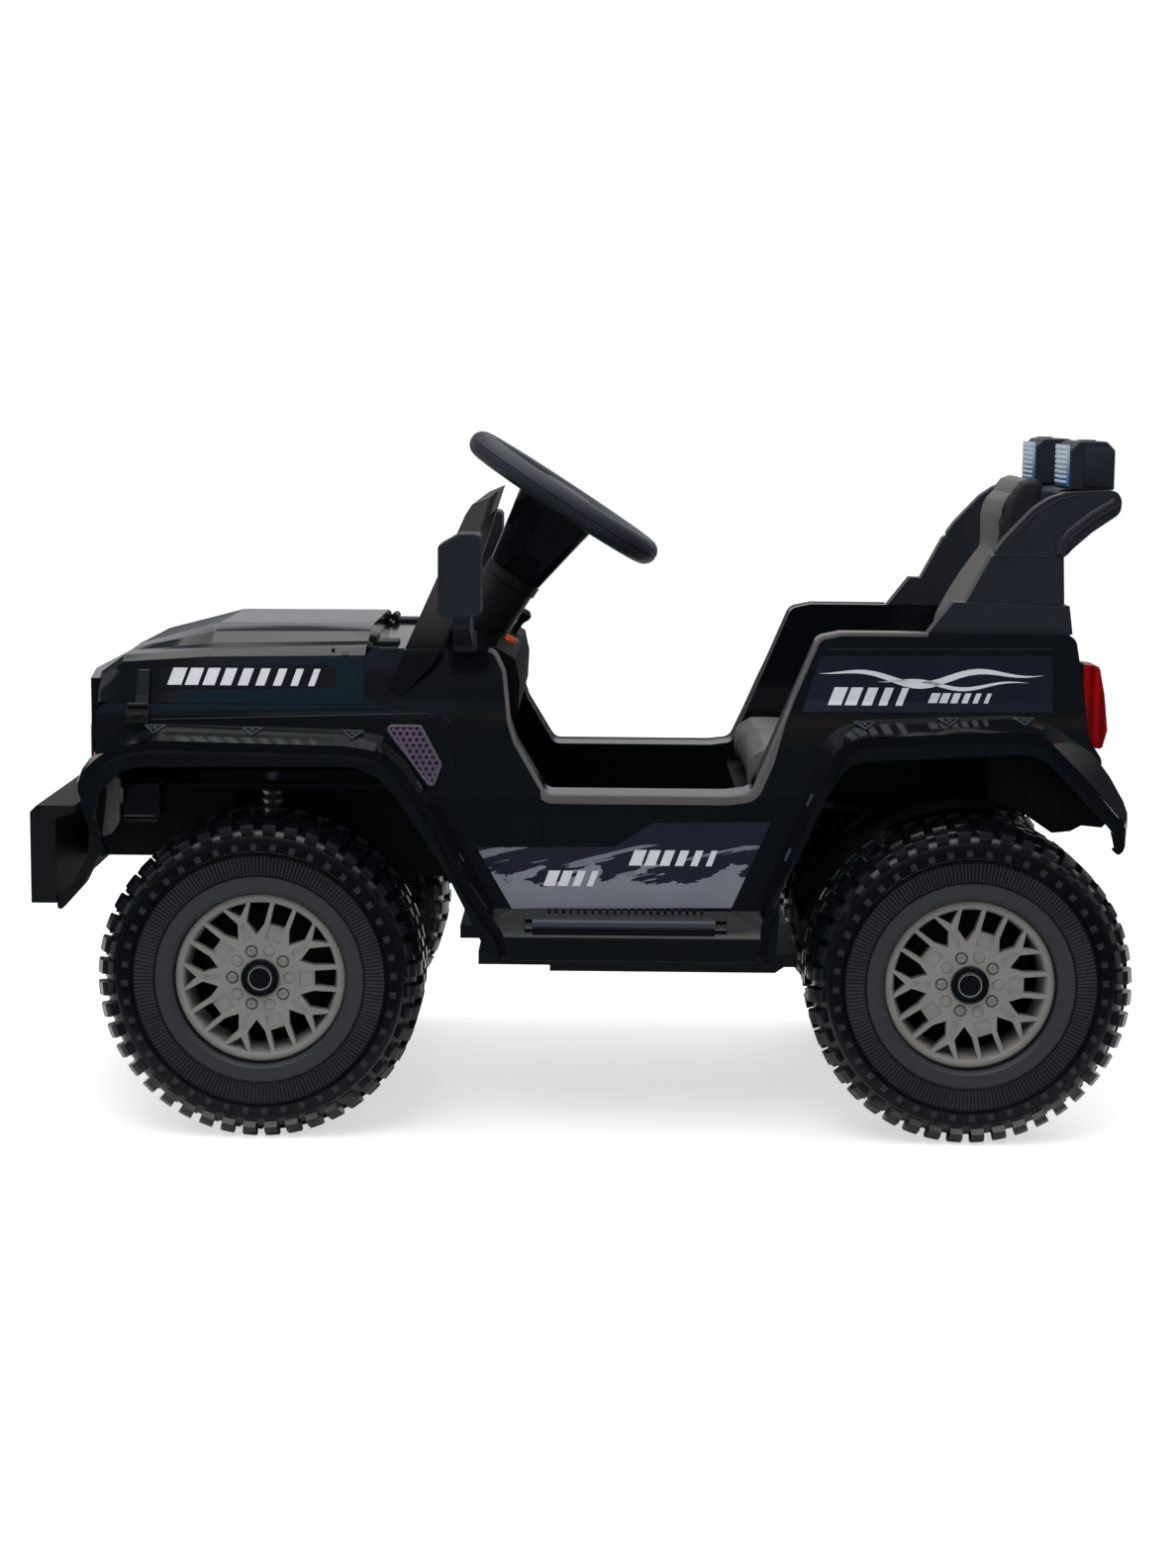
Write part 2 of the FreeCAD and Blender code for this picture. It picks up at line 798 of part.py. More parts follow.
def knuckle(side):
    """The steered piece that carries one front wheel, on the side -1 or 1."""
    y = side * kingpin_y
    low = upright(y, knuckle_foot_z, beam_bottom() - running_gap, boss_radius)
    pin = upright(y, knuckle_foot_z, well_roof_z + well_roof + running_gap + nut_height,
                  kingpin_radius)
    nut = upright(y, well_roof_z + well_roof + running_gap,
                  well_roof_z + well_roof + running_gap + nut_height, nut_radius)
    stub = rod(V(front_axle_x, y, hub_z), V(front_axle_x, side * stub_end(), hub_z),
               stub_radius)
    arm = block(front_axle_x, front_axle_x + arm_length, y - arm_width / 2, y + arm_width / 2,
                arm_z - arm_thickness, arm_z)
    eye_x = front_axle_x + arm_length
    eye = rod(V(eye_x, y, arm_z - arm_thickness), V(eye_x, y, arm_z), arm_width / 2)
    pivot = rod(V(eye_x, y, arm_z - arm_thickness - pivot_height), V(eye_x, y, arm_z),
                pivot_radius)
    return joined([low, pin, nut, stub, arm, eye, pivot])


def stub_end():
    """The distance of the front stub axles' ends from the centre line."""
    return wheel_outer - stub_end_inset


# Tie rod: it hangs on both arms' pivots and holds the crank's leg in its slot
rod_thickness = 7
rod_width = 14
rod_gap = 2
slot_half_length = 13
slot_half_width = 9
slot_pad = 8


def rod_top():
    """The upper face of the tie rod."""
    return arm_z - arm_thickness - rod_gap


def tie_rod():
    """The flat tie rod with its slotted middle."""
    x = front_axle_x + arm_length
    top = rod_top()
    low = top - rod_thickness
    pieces = [block(x - rod_width / 2, x + rod_width / 2, -kingpin_y, kingpin_y, low, top)]
    pad_x = slot_half_length + slot_pad
    pad_y = slot_half_width + slot_pad
    pieces.append(block(x - pad_x, x + pad_x, -pad_y, pad_y, low, top))
    holes = [block(x - slot_half_length, x + slot_half_length, -slot_half_width,
                   slot_half_width, low - overrun, top + overrun)]
    for side in (-1, 1):
        y = side * kingpin_y
        pieces.append(rod(V(x, y, low), V(x, y, top), rod_width * 2 / 3))
        play = running_gap if side < 0 else running_gap * 2
        holes.append(rod(V(x, y, low - overrun), V(x, y, top + overrun), pivot_radius + play))
    return joined(pieces).cut(holes)


# Steering column: its axis leans back through the dashboard.
# Spans are distances along the axis from the point where it leaves the cowl.
column_root_share = 0.289
column_rise = 4
column_lean = math.radians(32.7)
tube_span = (-40, 60)
tube_radius = 30
shaft_radius = 8
shaft_clearance = 2.5
crank_leg = 40
crank_radius = 5
leg_radius = 6
collar_span = (60.5, 72)
collar_radius = 32
housing_radii = (29, 47)
housing_span = (72, 160)
wheel_span = 171
wheel_rim_middle = 105.5
wheel_rim_radius = 14.5
rim_sides = 8
rim_facets = 60
pad_radius = 40
pad_span = (160, 184)
spoke_width = 30
spoke_thickness = 12
spoke_angles = (0, 125, 235)


def column_axis():
    """The direction of the steering axis."""
    return V(math.sin(column_lean), 0, math.cos(column_lean))


def column_back():
    """The direction square to the steering axis, down and to the rear."""
    return V(math.cos(column_lean), 0, -math.sin(column_lean))


def column_point(span):
    """A point on the steering axis."""
    root = V(mid(column_root_share), 0, shoulder_z + column_rise)
    return root + column_axis() * span


def crank_foot():
    """The span at which the shaft bends, and the crank's length to the tie rod's slot."""
    root = column_point(0)
    reach = V(front_axle_x + arm_length, 0, rod_top()) - root
    return reach.dot(column_axis()) + crank_leg, reach.dot(column_back())


def on_column(spans, radius):
    """A round bar on the steering axis."""
    return rod(column_point(spans[0]), column_point(spans[1]), radius)


def column_hole(radius):
    """The cutter for the shaft's way down to the tie rod."""
    return on_column((crank_foot()[0] - overrun, 0), radius)


def column_tube():
    """The fixed tube that stands out of the cowl."""
    return on_column(tube_span, tube_radius).cut(
        on_column((tube_span[0] - overrun, tube_span[1] + overrun), shaft_radius + running_gap))


def column_shaft():
    """The shaft with its tapered housing, bent below into the tie rod's crank."""
    bend, length = crank_foot()
    foot = column_point(bend)
    knee = foot + column_back() * length
    shaft = on_column((bend - leg_radius, collar_span[0]), shaft_radius)
    crank = rod(foot, knee, crank_radius)
    leg = rod(knee + column_axis() * leg_radius, knee - column_axis() * leg_length(), leg_radius)
    return joined([shaft, crank, leg] + steering_housing())


def leg_length():
    """The length of the crank's leg below its knee, through the tie rod."""
    return crank_leg + rod_thickness * 2 / 3


def steering_housing():
    """The collar and the tapered housing under the steering wheel."""
    collar = on_column(collar_span, collar_radius)
    length = housing_span[1] - housing_span[0]
    housing = Part.makeCone(housing_radii[0], housing_radii[1], length,
                            column_point(housing_span[0]), column_axis())
    return [collar, housing]


def steering_wheel():
    """The rim with three spokes round a pad."""
    middle = column_point(wheel_span)
    axis = column_axis()
    outline = []
    for index in range(rim_sides):
        turn = 2 * math.pi * (index + 1 / 2) / rim_sides
        outline.append((wheel_rim_middle + wheel_rim_radius * math.cos(turn),
                        wheel_rim_radius * math.sin(turn)))
    rim = faceted(outline, middle, axis, rim_facets)
    pieces = [rim, on_column(pad_span, pad_radius)]
    for angle in spoke_angles:
        spoke = Part.makeBox(wheel_rim_middle, spoke_width, spoke_thickness)
        spoke.translate(V(0, -spoke_width / 2, -spoke_thickness / 2))
        turned = FreeCAD.Placement(V(0, 0, 0), FreeCAD.Rotation(UP, angle))
        tilted = FreeCAD.Placement(middle, FreeCAD.Rotation(column_back(), ACROSS, axis))
        spoke.Placement = tilted.multiply(turned).multiply(spoke.Placement)
        pieces.append(spoke)
    return joined(pieces)


# Drive lever and pedal
lever_y = 70
lever_radius = 4
lever_length = 34
lever_knob = 8
knob_facets = 16
lever_slot_width = 12
lever_slot_length = 16
pedal_y = 62
pedal_width = 62
pedal_length = 74
pedal_thickness = 8
pedal_share = 0.335
pedal_tilt = math.radians(36)
pedal_hinge = 6


def lever_pivot():
    """The lever's pivot, under the sloping top of the dashboard."""
    return dash_slope_point(1 / 2) - dash_slope_normal() * lever_slot_width + ACROSS * lever_y


def drive_lever_slot():
    """The pocket in the dashboard in which the lever tilts."""
    pivot = lever_pivot()
    return block(pivot.x - lever_slot_length, pivot.x + lever_slot_length,
                 lever_y - lever_slot_width / 2, lever_y + lever_slot_width / 2,
                 pivot.z - lever_radius - running_gap, shoulder_z + overrun)


def drive_lever():
    """The forward and reverse lever with its knob."""
    pivot = lever_pivot()
    top = pivot + dash_slope_normal() * lever_length
    half = ACROSS * (lever_slot_width / 2)
    pin = rod(pivot - half, pivot + half, lever_radius)
    core = lever_radius / 2
    outline = [(core, -lever_knob), (lever_radius, -lever_knob), (lever_knob, 0),
               (lever_knob, lever_radius), (lever_radius, lever_knob), (core, lever_knob)]
    knob = faceted(outline, top, dash_slope_normal(), knob_facets)
    return joined([pin, rod(pivot, top + dash_slope_normal() * lever_knob, lever_radius), knob])


def pedal_heel():
    """The pedal's hinge line, on the centre of its width."""
    return V(mid(pedal_share) + pedal_length * math.cos(pedal_tilt), pedal_y,
             sill_z + pedal_hinge)


def pedal():
    """The accelerator plate, hinged at its heel."""
    heel = pedal_heel()
    rise = math.sin(pedal_tilt)
    run = math.cos(pedal_tilt)
    half = pedal_hinge / 2
    outline = [(heel.x - half * rise, heel.z - half * run),
               (heel.x + half * rise, heel.z + half * run),
               (heel.x - pedal_length * run + half * rise,
                heel.z + pedal_length * rise + half * run),
               (heel.x - pedal_length * run - half * rise,
                heel.z + pedal_length * rise - half * run)]
    plate = side_prism(outline, pedal_y - pedal_width / 2, pedal_y + pedal_width / 2)
    side = ACROSS * (pedal_width / 2)
    return joined([plate, rod(heel - side, heel + side, pedal_hinge / 2)])


def pedal_ears():
    """The two ears on the floor that hold the pedal's hinge."""
    heel = pedal_heel()
    ears = []
    for side in (-1, 1):
        y = heel.y + side * (pedal_width / 2 + running_gap)
        ears.append(block(heel.x - pedal_hinge, heel.x + pedal_hinge, y,
                          y + side * pedal_thickness, sill_z, heel.z + pedal_hinge))
    return ears


# Windscreen frame: a leaning open frame whose feet run down the cowl sides
screen_base_shares = [(0.1980, 0.0000), (0.2510, 0.0000), (0.3180, 1.0000), (0.2920, 0.9480),
                      (0.2830, 0.8830)]
screen_height = 155
screen_half = 215
screen_post = 30
screen_rail = 26
screen_foot_shares = [(0.1980, 0.0000), (0.2510, 0.0000), (0.2380, -0.1000), (0.1940, -0.3000),
                      (0.1780, -0.2500)]
screen_foot_depth = 14


def screen_outline():
    """The (x, z) outline of the frame."""
    return [(mid(a), shoulder_z + b * screen_height) for a, b in screen_base_shares]


def windscreen_frame():
    """Two posts, a top rail and a bottom rail, with a foot on each side."""
    whole = side_prism(screen_outline(), -screen_half, screen_half)
    window = block(fore(0), mid(1), screen_post - screen_half, screen_half - screen_post,
                   shoulder_z + screen_rail, shoulder_z + screen_height - screen_rail)
    foot_outline = [(mid(a), shoulder_z + b * screen_height) for a, b in screen_foot_shares]
    foot = side_prism(foot_outline, -screen_half - screen_foot_depth, -shoulder_half)
    frame = joined([whole.cut(window)] + with_twin(foot))
    return frame.cut(with_twin(body_side()) + [on_column((tube_span[0], wheel_span), tube_radius)])


# Mirrors on stalks
mirror_height = 82
mirror_depth = 42
mirror_width = 56
mirror_share = 0.253
mirror_foot = 41
mirror_chamfer = 12
stalk_depth = 18
stalk_width = 14


def mirror():
    """The left mirror on a stalk that stands on the cowl's side."""
    x = mid(mirror_share)
    low = shoulder_z + mirror_foot
    high = low + mirror_height
    outer = -mirror_span / 2
    inner = outer + mirror_width
    outline = [(x, low), (x, high - mirror_chamfer), (x + mirror_depth / 2, high),
               (x + mirror_depth, high), (x + mirror_depth, low)]
    head = side_prism(outline, outer, inner, mirror_chamfer / 2)
    arm = [(inner - stalk_width, low + stalk_width), (inner + stalk_width, low + stalk_width),
           (stalk_width - shoulder_half, shoulder_z), (-shoulder_half, shoulder_z),
           (inner - stalk_width, low - stalk_width)]
    start = x + mirror_depth / 2 - stalk_depth / 2
    stalk = cross_prism(arm, start, start + stalk_depth)
    return joined([head, stalk]).cut([windscreen_frame(), body_side()])


# Seat tub: riser, platform and rear wall in one bent sheet, with side skirts
tub_wall = 6
tub_front_share = 0.681
tub_gap = 3
tub_floor_z = tyre_diameter + tub_gap
tub_back_share = 0.169
tub_top_share = 0.314
skirt_half = 172
skirt_shares = [0.815, 0.330]
skirt_rise = 62


def tub_back():
    """X of the rear wall's foot and head."""
    return aft(tub_back_share), aft(tub_top_share)


def seat_tub():
    """The bent sheet that carries the seat."""
    front = mid(tub_front_share)
    foot, head = tub_back()
    outline = [(front, sill_z), (front, tub_floor_z), (foot, tub_floor_z), (head, deck_z),
               (head + tub_wall, deck_z), (foot + tub_wall, tub_floor_z - tub_wall),
               (front + tub_wall, tub_floor_z - tub_wall), (front + tub_wall, sill_z)]
    sheet = side_prism(outline, -inner_half, inner_half)
    skirt = block(mid(skirt_shares[0]), foot, -skirt_half, tub_wall - skirt_half,
                  tub_floor_z, tub_floor_z + skirt_rise)
    return joined([sheet] + with_twin(skirt))


# Rear deck and tail panel with its lamps
deck_wall = 6
tail_wall = 8
tail_lamp_half = 46
tail_lamp_margin = 4
tail_lamp_shares = [(0.730, 0.690), (0.856, 0.663), (0.895, 0.358), (0.922, -0.021),
                    (0.889, -0.232), (0.780, -0.200)]


def rear_deck():
    """The flat deck behind the seat and the slanting wall below its rear edge."""
    edge = tail_edge()
    head = tub_back()[1] + tub_wall
    inner = [(x - tail_wall, z) for x, z in reversed(edge[1:])]
    inner += [(edge[0][0] - tail_wall, deck_z - deck_wall), (head, deck_z - deck_wall),
              (head, deck_z)]
    return side_prism(edge + inner, -inner_half, inner_half)


def tail_lamp():
    """The left tail lamp, wrapped round the edge of the tail."""
    outline = [(aft(a), between(rear_arch_z, deck_z, b)) for a, b in tail_lamp_shares]
    outer = -rim_half + tail_lamp_margin
    lamp = side_prism(outline, outer, outer + tail_lamp_half, tail_lamp_margin)
    return lamp.cut([body_side(), rear_deck()])


# Rear chassis: the box under the seat that carries the axle and both gearboxes
rear_box_gap = 72
rear_box_half = wheel_inner - rear_box_gap
rear_box_share = 0.900
rear_box_end_share = 0.300
rear_box_rise = 50
rear_box_foot = hub_z + rear_box_rise
gearbox_gap = 8
gearbox_outer = wheel_inner - gearbox_gap
gearbox_radius = 44
gearbox_tail = 62
gearbox_width = 26
axle_radius = 6


def axle_line(y0, y1, radius):
    """A round bar on the rear axle line."""
    return rod(V(rear_axle_x, y0, hub_z), V(rear_axle_x, y1, hub_z), radius)


def rear_chassis():
    """The box under the seat with its two hangers for the axle."""
    front = mid(rear_box_share)
    rear = aft(rear_box_end_share)
    top = tub_floor_z - tub_wall
    box = block(front, rear, -rear_box_half, rear_box_half, rear_box_foot, top)
    hollow = block(front + chassis_wall, rear - chassis_wall, chassis_wall - rear_box_half,
                   rear_box_half - chassis_wall, rear_box_foot + chassis_wall, top + overrun)
    hanger = [(front, rear_box_foot), (rear, rear_box_foot),
              (rear_axle_x + gearbox_width, hub_z - gearbox_width),
              (rear_axle_x - gearbox_width, hub_z - gearbox_width)]
    plate = side_prism(hanger, -rear_box_half, chassis_wall - rear_box_half)
    whole = joined([box.cut(hollow)] + with_twin(plate))
    return whole.cut(axle_line(-wheel_outer, wheel_outer, axle_radius))


def rear_axle():
    """The steel rod that carries both rear wheels."""
    return axle_line(-stub_end(), stub_end(), axle_radius)


def gearbox():
    """The left gearbox with its motor, held on the chassis and the axle."""
    inner = -rear_box_half - gearbox_width * 2
    outline_round = axle_line(inner, -rear_box_half, gearbox_radius)
    case = block(rear_axle_x - gearbox_tail, rear_axle_x, inner, -rear_box_half,
                 hub_z - gearbox_radius / 2, hub_z + gearbox_radius)
    boss = axle_line(-gearbox_outer, -rear_box_half, gearbox_radius / 3)
    return joined([outline_round, case, boss]).cut(
        axle_line(-wheel_outer, 0, axle_radius))


# Wheels: a tyre with a ring of blocks round it, and a spoked rim
tread_depth = 9
lug_count = 44
lug_share = 0.56
shoulder_drop = 14
bead_radius = 87
rim_wall = 5
rim_dish = 2
rim_face_inset = 12
spoke_sets = 5
pad_window = [(0.645, -8.1), (0.925, -7.1), (0.925, 7.1), (0.645, 8.1)]
side_window = [(0.510, 23.4), (0.685, 31.5), (0.921, 24.9), (0.925, 10.0), (0.645, 13.5)]
fork_window = [(0.756, 36), (0.925, 27), (0.925, 45)]
hub_radius = 24
hub_cap_radius = 18
disc_thickness = 8
sidewall_shares = [(0.000, 0.300), (0.120, 0.000), (0.520, 0.000), (1.000, 0.150)]


def lathe(outline, x):
    """A solid turned about a wheel's axis, from its (radius, y) outline."""
    points = [V(x, y, hub_z + radius) for radius, y in outline]
    full_turn = 360
    return face_of(points).revolve(V(x, 0, hub_z), ACROSS, full_turn)


def tyre(x, side):
    """One tyre: a bulging carcass with a ring of tread blocks."""
    crown = tyre_radius - tread_depth
    outer = [(bead_radius + (crown - bead_radius) * a, wheel_outer - tyre_width * b)
             for a, b in sidewall_shares]
    inner = [(bead_radius + (crown - bead_radius) * a, wheel_inner + tyre_width * b)
             for a, b in reversed(sidewall_shares)]
    carcass = faceted(outer + inner, V(x, 0, hub_z), ACROSS * side, lug_count)
    pitch = 2 * math.pi / lug_count
    tip = tyre_radius / math.cos(pitch * lug_share / 2)
    points = []
    for index in range(lug_count):
        for turn, radius in ((-lug_share / 2, tip), (lug_share / 2, tip),
                             (lug_share * 2 / 3, crown + running_gap),
                             (1 - lug_share * 2 / 3, crown + running_gap)):
            angle = pitch * (index + turn)
            points.append((x + radius * math.sin(angle), hub_z - radius * math.cos(angle)))
    low = side * (wheel_inner + shoulder_drop)
    high = side * (wheel_outer - shoulder_drop)
    ring = side_prism(points, low, high)
    bore = rod(V(x, low, hub_z), V(x, high, hub_z), crown - tread_depth)
    return joined([carcass, ring.cut(bore)])


def rim_windows(x, side):
    """The windows of the rim's face, from shares of its radius and turns in degrees."""
    radius = bead_radius - running_gap
    windows = [pad_window, side_window, fork_window,
               [(share, -turn) for share, turn in reversed(side_window)]]
    cutters = []
    for index in range(spoke_sets):
        for window in windows:
            places = [(radius * share, math.radians(turn) + 2 * math.pi * index / spoke_sets)
                      for share, turn in window]
            outline = [(x + r * math.cos(a), hub_z + r * math.sin(a)) for r, a in places]
            cutters.append(side_prism(outline, side * wheel_inner, side * wheel_outer))
    return cutters


def rim(x, side):
    """One rim: a barrel and a face with windows between its spokes, and a bored hub."""
    face = wheel_outer - rim_face_inset
    back = wheel_inner + rim_face_inset
    outer = bead_radius - running_gap
    inner = outer - rim_wall
    floor = face - rim_dish
    shell = [(outer, back), (outer, face), (inner, face), (inner - rim_dish, floor),
             (hub_cap_radius, floor), (hub_cap_radius, floor - disc_thickness),
             (inner, floor - disc_thickness), (inner, back)]
    wheel = faceted(shell, V(x, 0, hub_z), ACROSS * side, lug_count)
    hub = rod(V(x, side * back, hub_z), V(x, side * floor, hub_z), hub_radius)
    cap = rod(V(x, side * floor, hub_z), V(x, side * (face + rim_wall), hub_z), hub_cap_radius)
    bore = rod(V(x, 0, hub_z), V(x, side * (stub_end() + running_gap), hub_z),
               stub_radius + running_gap)
    return joined([wheel, hub, cap]).cut(rim_windows(x, side) + [bore])


# Roll bar: a stepped foot and a swept arm on each side, and a cross bar
plinth_rise = 32
tower_rise = 79
arm_shares = [(0.118, 0.400), (0.209, 0.497), (0.288, 0.564), (0.399, 0.656), (0.497, 0.708),
              (0.601, 0.738), (0.765, 0.746), (0.935, 0.750), (0.975, 0.705), (0.968, 0.632),
              (0.784, 0.533), (0.660, 0.446), (0.601, 0.395)]
plinth_shares = [(-0.288, 0.000), (-0.124, 1.000), (0.647, 0.906), (0.673, 0.000)]
tower_foot_shares = [(-0.046, 0.380), (0.124, 1.000), (0.601, 1.000), (0.614, 0.380)]
bar_outer = 217
bar_inner = 190
bar_arm_inset = 3
bar_corner = 14
cross_bar_shares = [(0.700, 0.610), (0.690, 0.730), (0.765, 0.735), (0.935, 0.750),
                    (0.968, 0.620)]


def bar_outline(shares, rise):
    """Points of the roll bar, from shares of the rear overhang and a rise."""
    return [(aft(a), deck_z + b * rise) for a, b in shares]


def roll_bar():
    """The left foot and arm of the roll bar."""
    plinth = side_prism(bar_outline(plinth_shares, plinth_rise), -bar_outer, -bar_inner)
    tower = side_prism(bar_outline(tower_foot_shares, tower_rise), bar_arm_inset - bar_outer,
                       -bar_inner)
    arm = side_prism(bar_outline(arm_shares, roll_bar_rise), bar_arm_inset - bar_outer,
                     -bar_inner, bar_corner)
    return joined([plinth, tower, arm])


def cross_bar():
    """The bar that joins both arms behind the head rest."""
    outline = bar_outline(cross_bar_shares, roll_bar_rise)
    return side_prism(outline, -bar_inner, bar_inner, bar_corner)


# Roof lamps on the cross bar
pod_width = 96
pod_y = 115
pod_depth = 46
pod_height = 50
pod_sink = 1.25
pod_chamfer = 9
lens_depth = 10
lens_inset = 4


def pod_back():
    """X of the roof lamps' rear faces."""
    return aft(1) - bar_arm_inset


def pod_foot():
    """The height of the roof lamps' feet, let into the top of the cross bar."""
    return bar_outline(cross_bar_shares, roll_bar_rise)[-2][1] - pod_sink


def roof_lamp():
    """The left lamp housing on the cross bar."""
    rear = pod_back()
    front = rear - pod_depth
    low = pod_foot()
    high = low + pod_height
    outline = [(front, low), (front, high - pod_chamfer), (front + pod_chamfer, high),
               (rear - pod_chamfer, high), (rear, high - pod_chamfer), (rear, low)]
    pod = side_prism(outline, -pod_y - pod_width / 2, -pod_y + pod_width / 2)
    return pod.cut(cross_bar())


def roof_lamp_lens():
    """The left lamp's clear front."""
    front = pod_back() - pod_depth
    return block(front - lens_depth, front, -pod_y - pod_width / 2 + lens_inset,
                 -pod_y + pod_width / 2 - lens_inset, pod_foot() + lens_inset,
                 pod_foot() + pod_height - lens_inset)


# Seat: a cushion on the tub's floor and a back with a head rest
cushion_half = 150
cushion_rise = 57
cushion_corner = 22
back_half = 130
head_half = 78
back_corner = 9
back_shares = [(-0.072, 0.000), (0.033, 0.534), (0.203, 0.680), (0.327, 0.770), (0.320, 0.875),
               (0.373, 0.970), (0.497, 1.000), (0.595, 0.970), (0.627, 0.910), (0.497, 0.740),
               (0.300, 0.534), (0.163, 0.000)]
back_rise = 339


def seat_cushion():
    """The cushion on the tub's floor."""
    front = mid(tub_front_share) - seat_gap
    rear = aft(back_shares[0][0]) - seat_gap
    low = tub_floor_z + seat_gap
    outline = [(front, low), (front, low + cushion_rise), (rear, low + cushion_rise),
               (rear, low)]
    return side_prism(outline, -cushion_half, cushion_half, cushion_corner)


def seat_back():
    """The leaning back, narrower at the head rest."""
    low = tub_floor_z + seat_gap
    outline = [(aft(a) - seat_gap, low + b * back_rise) for a, b in back_shares]
    plate = side_prism(outline, -back_half, back_half, back_corner)
    front = [(back_half, low), (back_half, deck_z), (head_half, deck_z + back_rise / 3),
             (head_half, low + back_rise)]
    return plate.common(cross_prism(symmetric(front), aft(-1), aft(1), cushion_corner))


def build():
    """Write every sub-part of the car."""
    os.makedirs("parts", exist_ok=True)
    save_pair("body_side", body_side())
    save_pair("front_flare", flare(front_flare_edge(), front_arch_edge()))
    save_pair("rear_flare", flare(rear_flare_edge(), rear_arch_edge()))
    save_pair("step", step())
    save_pair("vent", vent())
    save("hood", hood())
    save("nose", nose())
    save("headlamp_left", headlamp_at(-lamp_y()))
    save("headlamp_right", headlamp_at(lamp_y()))
    save_pair("indicator", indicator())
    save("cowl", cowl())
    save("dashboard", dashboard())
    save("start_button", start_button())
    save("front_bumper", front_bumper())
    save("floor_pan", floor_pan())
    save("front_chassis", front_chassis())
    save_pair("spring", spring())
    save("knuckle_left", knuckle(-1))
    save("knuckle_right", knuckle(1))
    save("tie_rod", tie_rod())
    save("column_tube", column_tube())
    save("column_shaft", column_shaft())
    save("steering_wheel", steering_wheel())
    save("drive_lever", drive_lever())
    save("pedal", pedal())
    save("windscreen_frame", windscreen_frame())
    save_pair("mirror", mirror())
    save("seat_tub", seat_tub())
    save("rear_deck", rear_deck())
    save_pair("tail_lamp", tail_lamp())
    save("rear_chassis", rear_chassis())
    save("rear_axle", rear_axle())
    save_pair("gearbox", gearbox())
    for place, x in (("front", front_axle_x), ("rear", rear_axle_x)):
        for hand, side in (("left", -1), ("right", 1)):
            save("tyre_" + place + "_" + hand, tyre(x, side))
            save("rim_" + place + "_" + hand, rim(x, side))
    save_pair("roll_bar", roll_bar())
    save("cross_bar", cross_bar())
    save_pair("roof_lamp", roof_lamp())
    save_pair("roof_lamp_lens", roof_lamp_lens())
    save("seat_cushion", seat_cushion())
    save("seat_back", seat_back())


build()
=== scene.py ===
import json
import math
from functools import partialmethod

import bmesh
import bpy
from mathutils import Matrix, Vector

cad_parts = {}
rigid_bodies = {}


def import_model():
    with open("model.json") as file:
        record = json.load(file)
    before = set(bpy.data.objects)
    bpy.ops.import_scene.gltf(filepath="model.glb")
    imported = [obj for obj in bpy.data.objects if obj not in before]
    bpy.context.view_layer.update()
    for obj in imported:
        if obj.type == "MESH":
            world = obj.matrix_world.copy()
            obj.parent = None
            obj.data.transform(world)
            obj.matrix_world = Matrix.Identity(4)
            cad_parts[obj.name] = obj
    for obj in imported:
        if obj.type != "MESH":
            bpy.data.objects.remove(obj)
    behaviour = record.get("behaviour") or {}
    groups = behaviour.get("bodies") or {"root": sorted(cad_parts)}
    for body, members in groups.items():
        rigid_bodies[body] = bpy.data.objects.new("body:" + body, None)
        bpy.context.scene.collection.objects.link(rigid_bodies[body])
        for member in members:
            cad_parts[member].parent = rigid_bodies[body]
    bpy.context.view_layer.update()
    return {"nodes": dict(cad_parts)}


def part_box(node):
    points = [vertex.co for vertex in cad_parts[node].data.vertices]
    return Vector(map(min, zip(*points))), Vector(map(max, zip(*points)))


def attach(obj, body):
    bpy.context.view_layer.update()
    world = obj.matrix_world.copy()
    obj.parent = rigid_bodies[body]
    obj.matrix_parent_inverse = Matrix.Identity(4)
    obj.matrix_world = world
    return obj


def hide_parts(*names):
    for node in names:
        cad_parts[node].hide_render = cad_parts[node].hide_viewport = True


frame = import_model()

MM = 0.001
TURN = 2 * math.pi
SIDES = ("left", "right")
FRONT_AXLE = Vector((-324, 0, 165)) * MM
REAR_AXLE = Vector((396, 0, 165)) * MM
WHEEL_SIDE = 0.235
FLARE_SIDE = -271.3


# Camera, as the photograph was taken
def add_camera():
    data = bpy.data.cameras.new("camera")
    data.sensor_fit = "VERTICAL"
    data.sensor_height = 36
    data.sensor_width = 27
    data.lens = 63.64
    camera = bpy.data.objects.new("camera", data)
    bpy.context.scene.collection.objects.link(camera)
    camera.location = (0.019, -3.037, 0.745)
    camera.rotation_mode = "XYZ"
    yaw, pitch, roll = math.radians(-0.25), math.radians(7.80), math.radians(0.53)
    ahead = Vector((math.sin(yaw) * math.cos(pitch), math.cos(yaw) * math.cos(pitch),
                    -math.sin(pitch)))
    across = Vector((math.cos(yaw), -math.sin(yaw), 0))
    above = across.cross(ahead)
    turned = across * math.cos(roll) + above * math.sin(roll)
    risen = above * math.cos(roll) - across * math.sin(roll)
    camera.rotation_euler = Matrix((turned, risen, -ahead)).transposed().to_euler()
    bpy.context.scene.camera = camera


# Shader maths on sockets
class Value:
    """A socket that takes part in plain sums."""

    def __init__(self, finish, socket):
        self.finish = finish
        self.socket = socket

    def maths(self, operation, *others):
        return self.finish.node("ShaderNodeMath", self, *others, settings={"operation": operation})

    def __rsub__(self, other):
        return (self * -1) + other

    __add__ = partialmethod(maths, "ADD")
    __mul__ = partialmethod(maths, "MULTIPLY")
    __sub__ = partialmethod(maths, "SUBTRACT")
    __gt__ = partialmethod(maths, "GREATER_THAN")
    __lt__ = partialmethod(maths, "LESS_THAN")

    def wave(self):
        """The sine, moved to lie between 0 and 1."""
        return self.maths("SINE") * 0.5 + 0.5

    def share(self):
        """The value kept between 0 and 1."""
        return self.maths("MINIMUM", 1).maths("MAXIMUM", 0)


